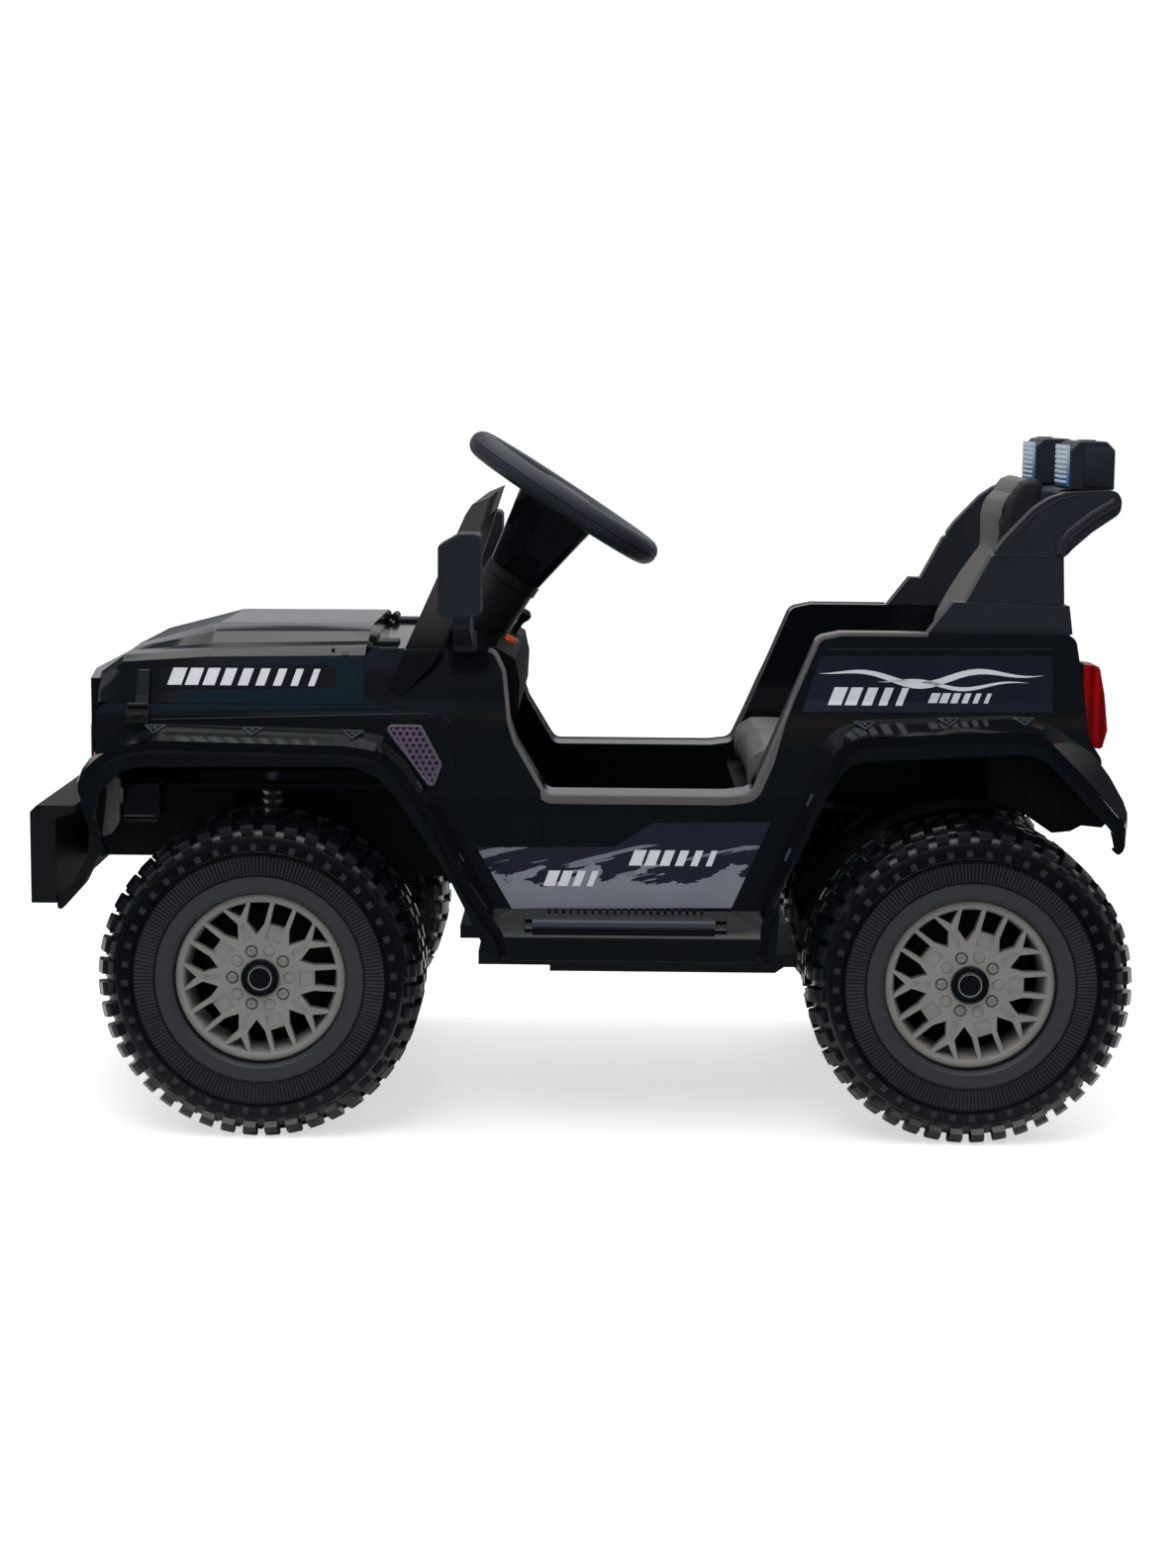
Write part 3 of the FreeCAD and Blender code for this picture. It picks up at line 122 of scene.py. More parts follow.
class Finish:
    """A material or a world under construction."""

    def __init__(self, name, kind="materials"):
        self.block = getattr(bpy.data, kind).new(name)
        self.block.use_nodes = True
        self.tree = self.block.node_tree
        self.shader = self.tree.nodes.get("Principled BSDF")

    def link(self, source, socket):
        if isinstance(source, Value):
            self.tree.links.new(source.socket, socket)
        else:
            socket.default_value = source

    def node(self, kind, *inputs, output=0, settings=None, **named):
        made = self.tree.nodes.new(kind)
        for key, value in (settings or {}).items():
            setattr(made, key, value)
        for place, source in enumerate(inputs):
            self.link(source, made.inputs[place])
        for key, source in named.items():
            self.link(source, made.inputs[key.replace("_", " ")])
        return Value(self, made.outputs[output])

    def ramp(self, share, stops):
        """Tones along a share, from stops of a place with red, green and blue."""
        made = self.node("ShaderNodeValToRGB", share)
        steps = made.socket.node.color_ramp.elements
        while len(steps) < len(stops):
            steps.new(0.5)
        for step, (place, *tone) in zip(steps, stops):
            step.position = place
            step.color = (*tone, 1)
        return made

    def place(self):
        return self.node("ShaderNodeTexCoord", output="Object")

    def split(self, vector):
        node = self.node("ShaderNodeSeparateXYZ", vector).socket.node
        return [Value(self, socket) for socket in node.outputs]

    def noise(self, scale, detail, where=None):
        return self.node("ShaderNodeTexNoise", Vector=where or self.place(), Scale=scale,
                         Detail=detail)

    def mix(self, share, first, second):
        made = self.node("ShaderNodeMix", share, output=2, settings={"data_type": "RGBA"})
        for source, place in ((first, 6), (second, 7)):
            self.link(source, made.socket.node.inputs[place])
        return made

    def drift(self, share, dark, light):
        """A mix of two screen colours."""
        return self.mix(share, colour(*dark), colour(*light))

    def bump(self, height, distance, strength):
        self.set(Normal=self.node("ShaderNodeBump", Strength=strength, Distance=distance,
                                  Height=height))

    def set(self, **sockets):
        for key, source in sockets.items():
            self.link(source, self.shader.inputs[key.replace("_", " ")])


def colour(red, green, blue):
    """A written screen colour as the shader's linear one."""
    def linear(tone):
        tone /= 255
        return tone / 12.92 if tone < 0.04045 else ((tone + 0.055) / 1.055) ** 2.4
    return (linear(red), linear(green), linear(blue), 1)


def plain(finish, dark, light, rough, spread, haze, depth, strength, grain=None, shine=0.5,
          metallic=0):
    """Two tones that drift into each other, with a fine relief."""
    cloud = finish.noise(*haze)
    finish.set(Base_Color=finish.drift(cloud, dark, light), Roughness=cloud * spread + rough,
               Specular_IOR_Level=shine, Metallic=metallic)
    finish.bump(finish.noise(*grain) if grain else cloud, depth, strength)


def grained(finish, dark, light, rough, grain, depth, shine=0.35):
    """Matt or satin moulded plastic with a fine grain."""
    plain(finish, dark, light, rough, 0.12, (14, 3), depth, 0.5, (grain, 2), shine)


def film(finish, dark, light):
    """A plain printed film."""
    plain(finish, dark, light, 0.14, 0.08, (20, 2), 0.0002, 0.2, shine=0.22)


def lens(finish, deep, pale, rough=0.12, pitch=0.004, shine=0.5):
    """A clear lens with upright flutes."""
    along, across, _ = finish.split(finish.place())
    flutes = ((along + across) * (TURN / pitch)).wave()
    haze = finish.noise(60, 2)
    finish.set(Base_Color=finish.drift(flutes * 0.6 + haze * 0.4, pale, deep),
               Roughness=haze * 0.1 + rough, Specular_IOR_Level=shine)
    finish.bump(flutes, 0.0005, 0.5)


def gloss_black(finish):
    haze = finish.noise(9, 3)
    finish.set(Base_Color=finish.drift(haze, (8, 12, 16), (14, 17, 21)),
               Roughness=haze * 0.08 + 0.06, Specular_IOR_Level=0.42)
    finish.bump(haze * 0.8 + finish.noise(160, 2) * 0.05, 0.0012, 0.25)


def post_grey(finish):
    """The windscreen frame's grey plastic, drawn darker and glossier by height toward its feet."""
    height = finish.split(finish.place())[2]
    share = ((height - 0.49) * (1 / 0.06)).share()
    haze = finish.noise(14, 3)
    tone = finish.drift(haze, (62, 59, 59), (74, 70, 69))
    finish.set(Base_Color=finish.mix(share, colour(14, 15, 17), tone),
               Roughness=haze * 0.12 + 0.4 - (1 - share) * 0.25, Specular_IOR_Level=0.35)
    finish.bump(finish.noise(900, 2), 0.0003, 0.5)


def tyre_rubber(finish):
    """Rubber with a ribbed band, a paler ring and printed marks, by the polar map."""
    turn, reach, _ = finish.split(finish.node("ShaderNodeTexCoord", output="UV"))
    ribs = (turn * (198 * TURN)).wave()
    band = (reach > 0.1075) * (reach < 0.1268)
    ring = (reach > 0.088) * (reach < 0.106)
    prints = ((turn * (44 * TURN)).maths("SINE") > 0.5) * (reach > 0.133) * (reach < 0.1395)
    haze = finish.noise(25, 3)
    tone = finish.drift(haze, (6, 9, 13), (12, 16, 22))
    tone = finish.mix(band * (1 - ribs), tone, colour(44, 46, 51))
    tone = finish.mix(prints, tone, colour(44, 48, 54))
    finish.set(Base_Color=finish.mix(ring, tone, colour(57, 58, 62)),
               Roughness=haze * 0.1 + 0.22, Specular_IOR_Level=0.2,
               Coat_Weight=(reach > 0.1445) * 0.9, Coat_Roughness=0.22)
    finish.bump(ribs * band * 0.9 + prints * 0.8 + finish.noise(900, 2) * 0.1, 0.0012, 0.9)


def seat_leather(finish):
    """Grained leather, darker on the head rest's ends."""
    cells = finish.node("ShaderNodeTexVoronoi", Vector=finish.place(), Scale=420,
                        settings={"feature": "DISTANCE_TO_EDGE"})
    haze = finish.noise(11, 3)
    _, across, height = finish.split(finish.place())
    gusset = (across.maths("ABSOLUTE") > 0.067) * (height > 0.598)
    tone = finish.drift(haze, (84, 81, 82), (102, 98, 98))
    finish.set(Base_Color=finish.mix(gusset, tone, colour(26, 28, 32)),
               Roughness=haze * 0.14 + 0.5, Specular_IOR_Level=0.4)
    finish.bump(cells.maths("MINIMUM", 0.3) + finish.noise(60, 3) * 0.4, 0.0008, 0.7)


def lamp_blue(finish):
    """The roof lamps' lens, pale above and bluer below."""
    height = finish.split(finish.place())[2]
    haze = finish.noise(90, 2)
    tone = finish.drift(((height - 0.668) * (1 / 0.03)).share(), (20, 112, 176), (150, 184, 208))
    finish.set(Base_Color=tone, Roughness=haze * 0.1 + 0.1, Specular_IOR_Level=0.5)
    finish.bump(haze, 0.0003, 0.3)


def splash(finish):
    """A printed film: dark navy with grey streaks and a broken grey foot."""
    along, _, height = finish.split(finish.place())
    rise = (height - 0.232) * (1 / 0.094)
    slanted = height * 0.976 - along * 0.217
    course = along * 0.976 + height * 0.217

    def torn(length, width, detail):
        where = finish.node("ShaderNodeCombineXYZ", course * length, 0.0, slanted * width)
        return finish.noise(1, detail, where)
    strokes = torn(7, 120, 3) > 0.6
    foot = (torn(22, 60, 5) * 0.9 - rise * 0.75) > 0.16
    ink = (strokes * (rise < 0.74) * 0.8).maths("MAXIMUM", foot)
    haze = finish.noise(20, 2)
    navy = finish.drift(haze, (26, 30, 42), (36, 39, 54))
    grey = finish.drift(haze, (112, 117, 128), (132, 137, 148))
    finish.set(Base_Color=finish.mix(ink, navy, grey), Roughness=haze * 0.08 + 0.14,
               Specular_IOR_Level=0.5)
    finish.bump(haze, 0.0002, 0.2)


def vent_grey(finish):
    """Plastic with a honeycomb of dark holes."""
    haze = finish.noise(40, 3)
    along, _, height = finish.split(finish.place())
    wave = TURN / 0.0058
    rows = ((height * wave).maths("COSINE")
            + ((height * 0.5 + along * 0.866) * wave).maths("COSINE")
            + ((height * 0.5 - along * 0.866) * wave).maths("COSINE"))
    holes = rows > 0.35
    tone = finish.drift(haze, (78, 62, 84), (98, 82, 106))
    finish.set(Base_Color=finish.mix(holes, tone, colour(20, 14, 24)),
               Roughness=haze * 0.12 + 0.3)
    finish.bump(1 - holes, 0.0006, 0.6)


FINISHES = {
    "gloss_black": (gloss_black,),
    "matt_black": (grained, (11, 12, 15), (20, 21, 25), 0.42, 1100, 0.0004),
    "satin_grey": (grained, (26, 30, 38), (36, 41, 50), 0.38, 900, 0.0003),
    "pit_black": (grained, (9, 10, 13), (17, 18, 22), 0.5, 1100, 0.0003, 0.06),
    "post_grey": (post_grey,),
    "grip": (grained, (32, 37, 46), (44, 49, 59), 0.42, 900, 0.0001),
    "trim_grey": (grained, (84, 80, 81), (100, 95, 96), 0.3, 900, 0.0002),
    "smoked": (grained, (48, 56, 64), (62, 70, 78), 0.12, 300, 0.0002),
    "tyre": (tyre_rubber,),
    "rim": (plain, (136, 134, 131), (150, 148, 144), 0.34, 0.1, (30, 3), 0.0002, 0.3,
            (2600, 1), 0.45, 0.15),
    "seat_leather": (seat_leather,),
    "lamp_clear": (lens, (120, 124, 130), (226, 230, 234)),
    "lamp_amber": (lens, (170, 82, 16), (236, 140, 46)),
    "lamp_red": (lens, (70, 0, 1), (168, 0, 3), 0.12, 0.011, 0.25),
    "lamp_blue": (lamp_blue,),
    "lamp_bars": (plain, (196, 214, 226), (226, 236, 242), 0.2, 0.1, (200, 2), 0.0003, 0.3),
    "decal_splash": (splash,),
    "decal_navy": (film, (22, 25, 36), (32, 35, 48)),
    "decal_dark": (film, (15, 15, 17), (24, 21, 22)),
    "decal_white": (film, (200, 203, 210), (222, 225, 230)),
    "vent_grey": (vent_grey,),
    "vent_lip": (grained, (78, 72, 84), (100, 94, 104), 0.25, 700, 0.0002),
    "button_orange": (plain, (226, 84, 22), (244, 110, 40), 0.25, 0.1, (120, 2), 0.0003, 0.3),
    "steel": (plain, (120, 121, 124), (178, 178, 180), 0.25, 0.3, (60, 4), 0.0004, 0.3, None,
              0.5, 0.9)}
materials = {}
for title, (make, *row) in FINISHES.items():
    made = Finish(title)
    make(made, *row)
    materials[title] = made.block


def paint(piece, name):
    """One material for the whole piece."""
    if piece.data.materials:
        for slot in piece.material_slots:
            slot.material = materials[name]
    else:
        piece.data.materials.append(materials[name])


FINISH_OF = dict.fromkeys(("mirror_left", "mirror_right", "roll_bar_left", "roll_bar_right",
                           "cross_bar", "roof_lamp_left", "roof_lamp_right"), "satin_grey")
FINISH_OF.update(windscreen_frame="post_grey", seat_tub="pit_black", dashboard="pit_black")
slot_of = {}


def dress_nodes():
    """Every node gets its own finish, by the slot it was packed with."""
    for name, node in frame["nodes"].items():
        for slot in node.material_slots:
            known = slot.material.name.split(".")[0] if slot.material else "matt_black"
            chosen = known if known in materials else "matt_black"
            slot_of[name] = chosen
            slot.material = materials[FINISH_OF.get(name, chosen)]


# Ways of shaping a piece, as by hand
def deselect():
    if bpy.context.object and bpy.context.object.mode != "OBJECT":
        bpy.ops.object.mode_set(mode="OBJECT")
    bpy.ops.object.select_all(action="DESELECT")


def choose(piece):
    deselect()
    piece.select_set(True)
    bpy.context.view_layer.objects.active = piece


def shape(piece, kind="FACE"):
    """Edit mode on one piece with nothing picked."""
    choose(piece)
    bpy.ops.object.mode_set(mode="EDIT")
    bpy.ops.mesh.select_mode(type=kind)
    bpy.ops.mesh.select_all(action="DESELECT")


def pick(piece, rule, kind="faces"):
    mesh = bmesh.from_edit_mesh(piece.data)
    for item in getattr(mesh, kind):
        item.select_set(False)
    for item in getattr(mesh, kind):
        if rule(item):
            item.select_set(True)
    mesh.select_flush_mode()
    bmesh.update_edit_mesh(piece.data)


def done():
    bpy.ops.object.mode_set(mode="OBJECT")


def every():
    bpy.ops.mesh.select_all(action="SELECT")


def weld(piece, reach=0.01):
    """Edit mode on one piece, its vertices within reach of each other made one."""
    shape(piece, "VERT")
    every()
    bpy.ops.mesh.remove_doubles(threshold=reach * MM)


def outward():
    every()
    bpy.ops.mesh.normals_make_consistent(inside=False)


def inset(width):
    bpy.ops.mesh.inset(thickness=width * MM)


def push(height):
    """The picked faces moved out by a height in mm, with new walls."""
    bpy.ops.mesh.extrude_region_shrink_fatten(TRANSFORM_OT_shrink_fatten={"value": height * MM})


def settled(name):
    """The object just made, named, at the origin and unscaled."""
    piece = bpy.context.object
    piece.name = name
    bpy.ops.object.transform_apply(location=True, rotation=True, scale=True)
    return piece


def trace(name, points, closed=True):
    """A line drawn through points in mm, filled when it is closed."""
    points = [Vector(point) * MM for point in points]
    deselect()
    bpy.ops.mesh.primitive_plane_add(size=MM, location=points[0])
    bpy.ops.object.mode_set(mode="EDIT")
    bpy.ops.mesh.select_mode(type="VERT")
    bpy.ops.mesh.merge(type="CENTER")
    for here, there in zip(points, points[1:]):
        bpy.ops.mesh.extrude_vertices_move(TRANSFORM_OT_translate={"value": there - here})
    every()
    if closed:
        bpy.ops.mesh.edge_face_add()
    done()
    return settled(name)


def at(side, line):
    """The (x, z) points of a line, placed at one side in mm."""
    return [(x, side, z) for x, z in line]


def thicken(piece, step):
    """A filled outline drawn out along one step in mm."""
    shape(piece)
    every()
    bpy.ops.mesh.extrude_region_move(TRANSFORM_OT_translate={"value": Vector(step) * MM})
    outward()
    done()
    return piece


def plate(name, side, outline, depth):
    """A filled (x, z) outline at one side, drawn out across the car by a depth in mm."""
    return thicken(trace(name, at(side, outline)), (0, depth, 0))


def modify(piece, kind, **settings):
    """A modifier, applied at once."""
    choose(piece)
    made = piece.modifiers.new(kind.lower(), kind)
    for key, value in settings.items():
        setattr(made, key, value)
    bpy.ops.object.modifier_apply(modifier=made.name)
    return piece


def soften(piece, width, angle=35, segments=2):
    """Edges rounded to a width in mm."""
    return modify(piece, "BEVEL", width=width * MM, segments=segments, limit_method="ANGLE",
                  angle_limit=math.radians(angle), harden_normals=False)


def smooth(piece, angle=40):
    choose(piece)
    bpy.ops.object.shade_smooth_by_angle(angle=math.radians(angle))
    return piece


def copy_of(piece, name, matrix):
    twin = piece.copy()
    twin.data = piece.data.copy()
    twin.name = name
    bpy.context.scene.collection.objects.link(twin)
    twin.data.transform(matrix)
    if matrix.determinant() < 0:
        choose(twin)
        bpy.ops.object.mode_set(mode="EDIT")
        every()
        bpy.ops.mesh.flip_normals()
        done()
    return twin


def join(name, pieces):
    deselect()
    for piece in pieces:
        piece.select_set(True)
    bpy.context.view_layer.objects.active = pieces[0]
    bpy.ops.object.join()
    pieces[0].name = name
    return pieces[0]


def finish_piece(piece, material, body, nodes=()):
    paint(piece, material)
    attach(piece, body)
    if nodes:
        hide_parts(*nodes)


MIRROR = Matrix.Diagonal((1, -1, 1, 1))


# Tyres: one sector with its lug and mark, repeated round the axle
LUGS = 44
COLUMNS = 6
TREAD_REACH = 164.6 * MM
TREAD_SIDE = 54.9 * MM
# Half the section, from the bead to the middle of the tread, as (radius, side) in mm
TYRE_HALF = [(86, 41), (88.5, 49), (92, 52.2), (104.6, 52.8), (105.4, 51.6), (106.4, 52.6),
             (117, 53.2), (127.6, 53.4), (128.2, 54.4), (129, 54.6), (129.6, 53.4), (130.4, 53.6),
             (131, 54.4), (131.8, 53.4), (133.4, 53.4), (139.4, 52.8), (141, 52.4), (147, 50.4),
             (152, 46.5), (156.4, 38), (157.6, 30), (158, 16), (158.2, 14), (158.2, 0)]


def section(name, outline):
    """A closed (radius, side) outline in mm, welded and open for editing."""
    points = [(radius, side, 0) for radius, side in outline]
    piece = trace(name, points + points[:1], closed=False)
    weld(piece)
    return piece


def spin(steps, angle):
    bpy.ops.mesh.spin(steps=steps, angle=angle, center=(0, 0, 0), axis=(0, -1, 0))


def tyre_sector():
    sector = section("tyre_sector",
                     TYRE_HALF + [(radius, -side) for radius, side in TYRE_HALF[-2::-1]])
    spin(COLUMNS, TURN / LUGS)
    outward()

    def shoulder(radius, side, column, end):
        return 1 < column < 5 and radius > 147 and 29 < side < 53

    def mark(radius, side, column, end):
        return 2 < column < 4 and 133.4 < radius < 139.4 and side > 45

    def lug(radius, side, column, end):
        first = 0 if end > 0 else 3
        return first < column < first + 3 and radius > 155.7 and 0 < side < 16.5

    bpy.ops.mesh.select_mode(type="FACE")
    for end in (1, -1):
        for rule, width, height in ((shoulder, 0.7, 8.6), (mark, 0.8, -0.9), (lug, 1.4, 8.2)):
            def chosen(face):
                middle = face.calc_center_median()
                column = abs(math.atan2(middle.z, middle.x)) * LUGS * COLUMNS / TURN
                return rule(math.hypot(middle.x, middle.z) / MM, middle.y / MM * end, column, end)
            pick(sector, chosen)
            inset(width)
            push(height)
            if rule is shoulder:
                inset(0.9)
    mesh = bmesh.from_edit_mesh(sector.data)
    for vertex in mesh.verts:
        radius = math.hypot(vertex.co.x, vertex.co.z)
        if radius > TREAD_REACH:
            vertex.co.x *= TREAD_REACH / radius
            vertex.co.z *= TREAD_REACH / radius
        vertex.co.y = max(-TREAD_SIDE, min(TREAD_SIDE, vertex.co.y))
    bmesh.update_edit_mesh(sector.data)
    done()
    return sector


def around(pieces, count):
    """The pieces with their copies at equal steps round the wheel's axis, as one."""
    copies = [copy_of(piece, piece.name, Matrix.Rotation(TURN * number / count, 4, "Y"))
              for piece in pieces for number in range(1, count)]
    return join(pieces[0].name, pieces + copies)


def polar_map(piece):
    """Texture places by angle and distance from the wheel's axis."""
    for layer in list(piece.data.uv_layers):
        piece.data.uv_layers.remove(layer)
    layer = piece.data.uv_layers.new(name="polar")
    for face in piece.data.polygons:
        middle = math.atan2(face.center.z, face.center.x)
        for corner in face.loop_indices:
            place = piece.data.vertices[piece.data.loops[corner].vertex_index].co
            angle = math.atan2(place.z, place.x)
            angle -= TURN * round((angle - middle) / TURN)
            layer.data[corner].uv = (angle / TURN, math.hypot(place.x, place.z))


def make_tyre():
    tyre = around([tyre_sector()], LUGS)
    weld(tyre, 0.05)
    done()
    polar_map(tyre)
    return smooth(tyre, 32)


# Rims: a spun barrel, a spun dish with its windows cut, bolts and dimples
def polar(radius, degrees):
    angle = math.radians(degrees)
    return Vector((radius * math.cos(angle), 0, radius * math.sin(angle))) * MM


def spun(name, outline, steps=64):
    """A closed (radius, side) outline in mm turned round the wheel's axis."""
    piece = section(name, outline)
    spin(steps, TURN)
    every()
    bpy.ops.mesh.remove_doubles(threshold=0.01 * MM)
    outward()
    done()
    return piece


def rim_windows():
    """The window cutters of one fifth of the rim's face, whose front is at side 43."""
    deep, front = 20, 60
    windows = [
        [(55, -7.8), (79.2, -9.8), (79.8, 0), (79.2, 9.8), (55, 7.8)],
        [(40.3, 17.4), (50.2, 30.8), (71.8, 33.4), (76.3, 23.5), (78.6, 13.9), (54, 13)],
        [(52.6, 38.2), (70.9, 36.2), (64.6, 46.9), (56.3, 56.2)],
    ]
    windows.append([(x, -z) for x, z in reversed(windows[1])])
    return [plate("window", deep, outline, front - deep) for outline in windows]


def round_prism(name, radius, middle, low, high):
    deselect()
    bpy.ops.mesh.primitive_cylinder_add(vertices=24, radius=radius * MM,
                                        depth=(high - low) * MM,
                                        location=(middle.x, (low + high) / 2 * MM, middle.z),
                                        rotation=(math.pi / 2, 0, 0))
    return settled(name)


def block(name, low, high):
    """A box between two corners in mm, as the start of a shaped piece."""
    deselect()
    low, high = Vector(low) * MM, Vector(high) * MM
    bpy.ops.mesh.primitive_cube_add(size=1, location=(low + high) / 2)
    bpy.context.object.scale = high - low
    return settled(name)


def turned(piece, degrees):
    piece.data.transform(Matrix.Rotation(-math.radians(degrees), 4, "Y"))
    return piece


def make_rim():
    dish = spun("rim", [(0, 24), (0, 42), (22, 42), (34, 40.4), (52, 40.4), (66, 41.4),
                        (80.5, 42.4), (80.5, 33), (56, 28), (30, 24)], 90)
    for shapes in (rim_windows, lambda: [
            block("recess", (39.5, 38.6, -8), (54, 60, 8)),
            round_prism("recess", 6.3, polar(29, 0), 39.6, 60),
            round_prism("recess", 6.6, polar(28.4, 36), 37.0, 60),
            turned(block("recess", (40, 39.2, -2.6), (57, 60, 2.6)), 36)]):
        cutters = around(shapes(), 5)
        modify(dish, "BOOLEAN", object=cutters, operation="DIFFERENCE", solver="EXACT")
        bpy.data.objects.remove(cutters)
    smooth(soften(dish, 0.7, 40))
    barrel = smooth(spun("barrel", [(79.5, 43), (84, 43), (86, 41.6), (86, -43), (79, -43),
                                    (76, -40), (74, -10), (74, 16), (76.5, 36), (78.4, 41.8)],
                         120))
    bolts = []
    for number in range(5):
        bolt = round_prism("bolt", 4.6, polar(28.4, 36 + 72 * number), 36, 41.0)
        shape(bolt)
        pick(bolt, lambda face: face.normal.y > 0.9)
        for width, height in ((1.4, 1.0), (0.9, -1.4)):
            inset(width)
            push(height)
        done()
        bolts.append(smooth(soften(bolt, 0.3)))
    dimples = [smooth(soften(round_prism("dimple", 5.2, polar(29, 72 * number), 36, 40.3), 0.5))
               for number in range(5)]
    return join("rim", [dish, barrel] + bolts + dimples)


CAP = [(0, 40), (0, 45.2), (9, 45.2), (11.6, 44.6), (12.2, 44.6), (12.6, 47.2), (13.6, 47.6),
       (14.4, 47), (15, 45.4), (16.6, 45.4), (17.4, 47.4), (18.6, 47.2), (19.5, 45.4), (19.6, 41)]
CAP_RING = [(10.9, 44), (10.9, 46), (12.1, 46), (12.1, 44)]
# The dark hollow behind the rim's windows
WELL = [(0, 14), (30, 14), (44, 2), (66, -6), (75, 4), (75, -2), (66, -12), (44, -4), (30, 8),
        (0, 8)]


def place_wheels():
    forms = [("tyre_tread", make_tyre(), "tyre", "tyre"), ("rim_face", make_rim(), "rim", "rim")]
    for title, outline, material in (("hub_cap", CAP, "gloss_black"), ("cap_ring", CAP_RING, "rim"),
                                     ("rim_well", WELL, "matt_black")):
        forms.append((title, smooth(spun(title, outline)), material, None))
    for end, axle in (("front", FRONT_AXLE), ("rear", REAR_AXLE)):
        for side in SIDES:
            sign = -1 if side == "left" else 1
            seat = Matrix.Translation((axle.x, sign * WHEEL_SIDE, axle.z))
            if sign < 0:
                seat = seat @ MIRROR
            for title, form, material, node in forms:
                piece = copy_of(form, f"{title}_{end}_{side}", seat)
                finish_piece(piece, material, f"wheel_{end}_{side}",
                             nodes=[f"{node}_{end}_{side}"] if node else ())
    for form in forms:
        bpy.data.objects.remove(form[1])


# Moulded pieces: the frame's own forms with their edges rounded
def node_copy(name, title):
    """A welded copy of a node's mesh, as the start of a better piece."""
    piece = bpy.data.objects.new(title, frame["nodes"][name].data.copy())
    bpy.context.scene.collection.objects.link(piece)
    weld(piece)
    bpy.ops.mesh.dissolve_limited(angle_limit=math.radians(0.5))
    done()
    return piece


def body_of(name):
    return frame["nodes"][name].parent.name.split(":")[-1]


def moulded(name, width, angle=28, segments=2, round_to=42):
    piece = node_copy(name, f"{name}_shell")
    smooth(soften(piece, width, angle, segments), round_to)
    modify(piece, "WEIGHTED_NORMAL", keep_sharp=True)
    slot = slot_of[name]
    finish_piece(piece, FINISH_OF.get(name, slot), body_of(name), nodes=[name])


def mould_pieces():
    widths = {"hood": 1.6, "nose": 1.2, "front_bumper": 5, "windscreen_frame": 1.5,
              "rear_deck": 1.6, "cowl": 1.2, "dashboard": 1.5, "column_shaft": 1.2,
              "drive_lever": 0.8}
    sided = {"body_side": 2.2, "front_flare": 1.4, "rear_flare": 1.4, "mirror": 2.0,
             "roll_bar": 2.2, "roof_lamp": 1.8, "tail_lamp": 1.8, "step": 0.9}
    for name, width in sided.items():
        for side in SIDES:
            widths[f"{name}_{side}"] = width
    for name, width in widths.items():
        moulded(name, width, *{"hood": (9, 2, 24), "front_bumper": (28, 4)}.get(name, ()))


# Steering wheel and column housing, built round the Y axis and set on the column
COLUMN_ROOT = Vector((-115.9, 0, 500.0)) * MM
COLUMN_AXIS = Vector((0.5402, 0, 0.8415))


def on_column(piece, span):
    back = Vector((COLUMN_AXIS.z, 0, -COLUMN_AXIS.x))
    seat = Matrix((back, COLUMN_AXIS, back.cross(COLUMN_AXIS))).transposed().to_4x4()
    seat.translation = COLUMN_ROOT + COLUMN_AXIS * (span * MM)
    piece.data.transform(seat)
    return piece


def make_steering_wheel():
    groove, reach, thick = 0.07, 105.5, 14.1
    outline = [(reach + 12.8, 0)]
    for number in range(27):
        angle = groove + (TURN - 2 * groove) * number / 26
        outline.append((reach + thick * math.cos(angle), thick * math.sin(angle)))
    rim = spun("wheel_form", outline, 96)
    shape(rim)
    cuts = []
    for degrees in (27, -27):
        across = Vector((math.sin(math.radians(degrees)), 0, -math.cos(math.radians(degrees))))
        cuts.append(across)
        for shift in (-0.5, 0.5):
            every()
            bpy.ops.mesh.bisect(plane_co=across * shift * MM, plane_no=across)

    def joint(face):
        middle = face.calc_center_median()
        return any(abs(middle.dot(across)) < 0.45 * MM for across in cuts)
    pick(rim, joint)
    push(-0.9)
    done()
    pieces = [smooth(rim)]
    for degrees in (0, 125, 235):
        spoke = plate("spoke", -5, [(20, -19), (62, -13), (98, -17), (98, 17), (62, 13),
                                    (20, 19)], 9)
        pieces.append(smooth(turned(soften(spoke, 2.4, 30, 3), degrees)))
    pad = spun("pad", [(0, 12), (24, 12), (33, 9.5), (38, 4), (39.6, -3), (37, -11), (0, -11)],
               48)
    pieces.append(smooth(pad))
    wheel = on_column(join("wheel_form", pieces), 171)
    finish_piece(wheel, "grip", "steering", nodes=["steering_wheel"])


def make_housing():
    """The boxy housing round the column's cone."""
    deselect()
    bpy.ops.mesh.primitive_cone_add(vertices=4, radius1=30.5 * 2 ** 0.5 * MM,
                                    radius2=45 * 2 ** 0.5 * MM, depth=84 * MM,
                                    rotation=(0, 0, math.pi / 4))
    piece = settled("column_housing")
    piece.data.transform(Matrix.Rotation(-math.pi / 2, 4, "X"))
    shape(piece, "EDGE")
    pick(piece, lambda edge: abs(edge.verts[0].co.y - edge.verts[1].co.y) > 50 * MM, "edges")
    bpy.ops.mesh.bevel(offset=14 * MM, segments=4, affect="EDGES")
    done()
    smooth(soften(piece, 2, 50, 3))
    finish_piece(on_column(piece, 115), "gloss_black", "steering")


# Small forms on the body, made on the left and mirrored
FOLDS = (351, 428, 448)


def skin(x, z):
    """The half width in mm of the body's side."""
    stops = ((-1, 250), *zip(FOLDS, (250, 236, 227)), (517, 224 if x > 0 else 203.7))
    for (low, near), (high, far) in zip(stops, stops[1:]):
        if z <= high:
            break
    return near + (far - near) * (min(z, 517) - low) / (high - low)


def hood_skin(x, z):
    return 222.0 - 0.345 * (z - 453.5)


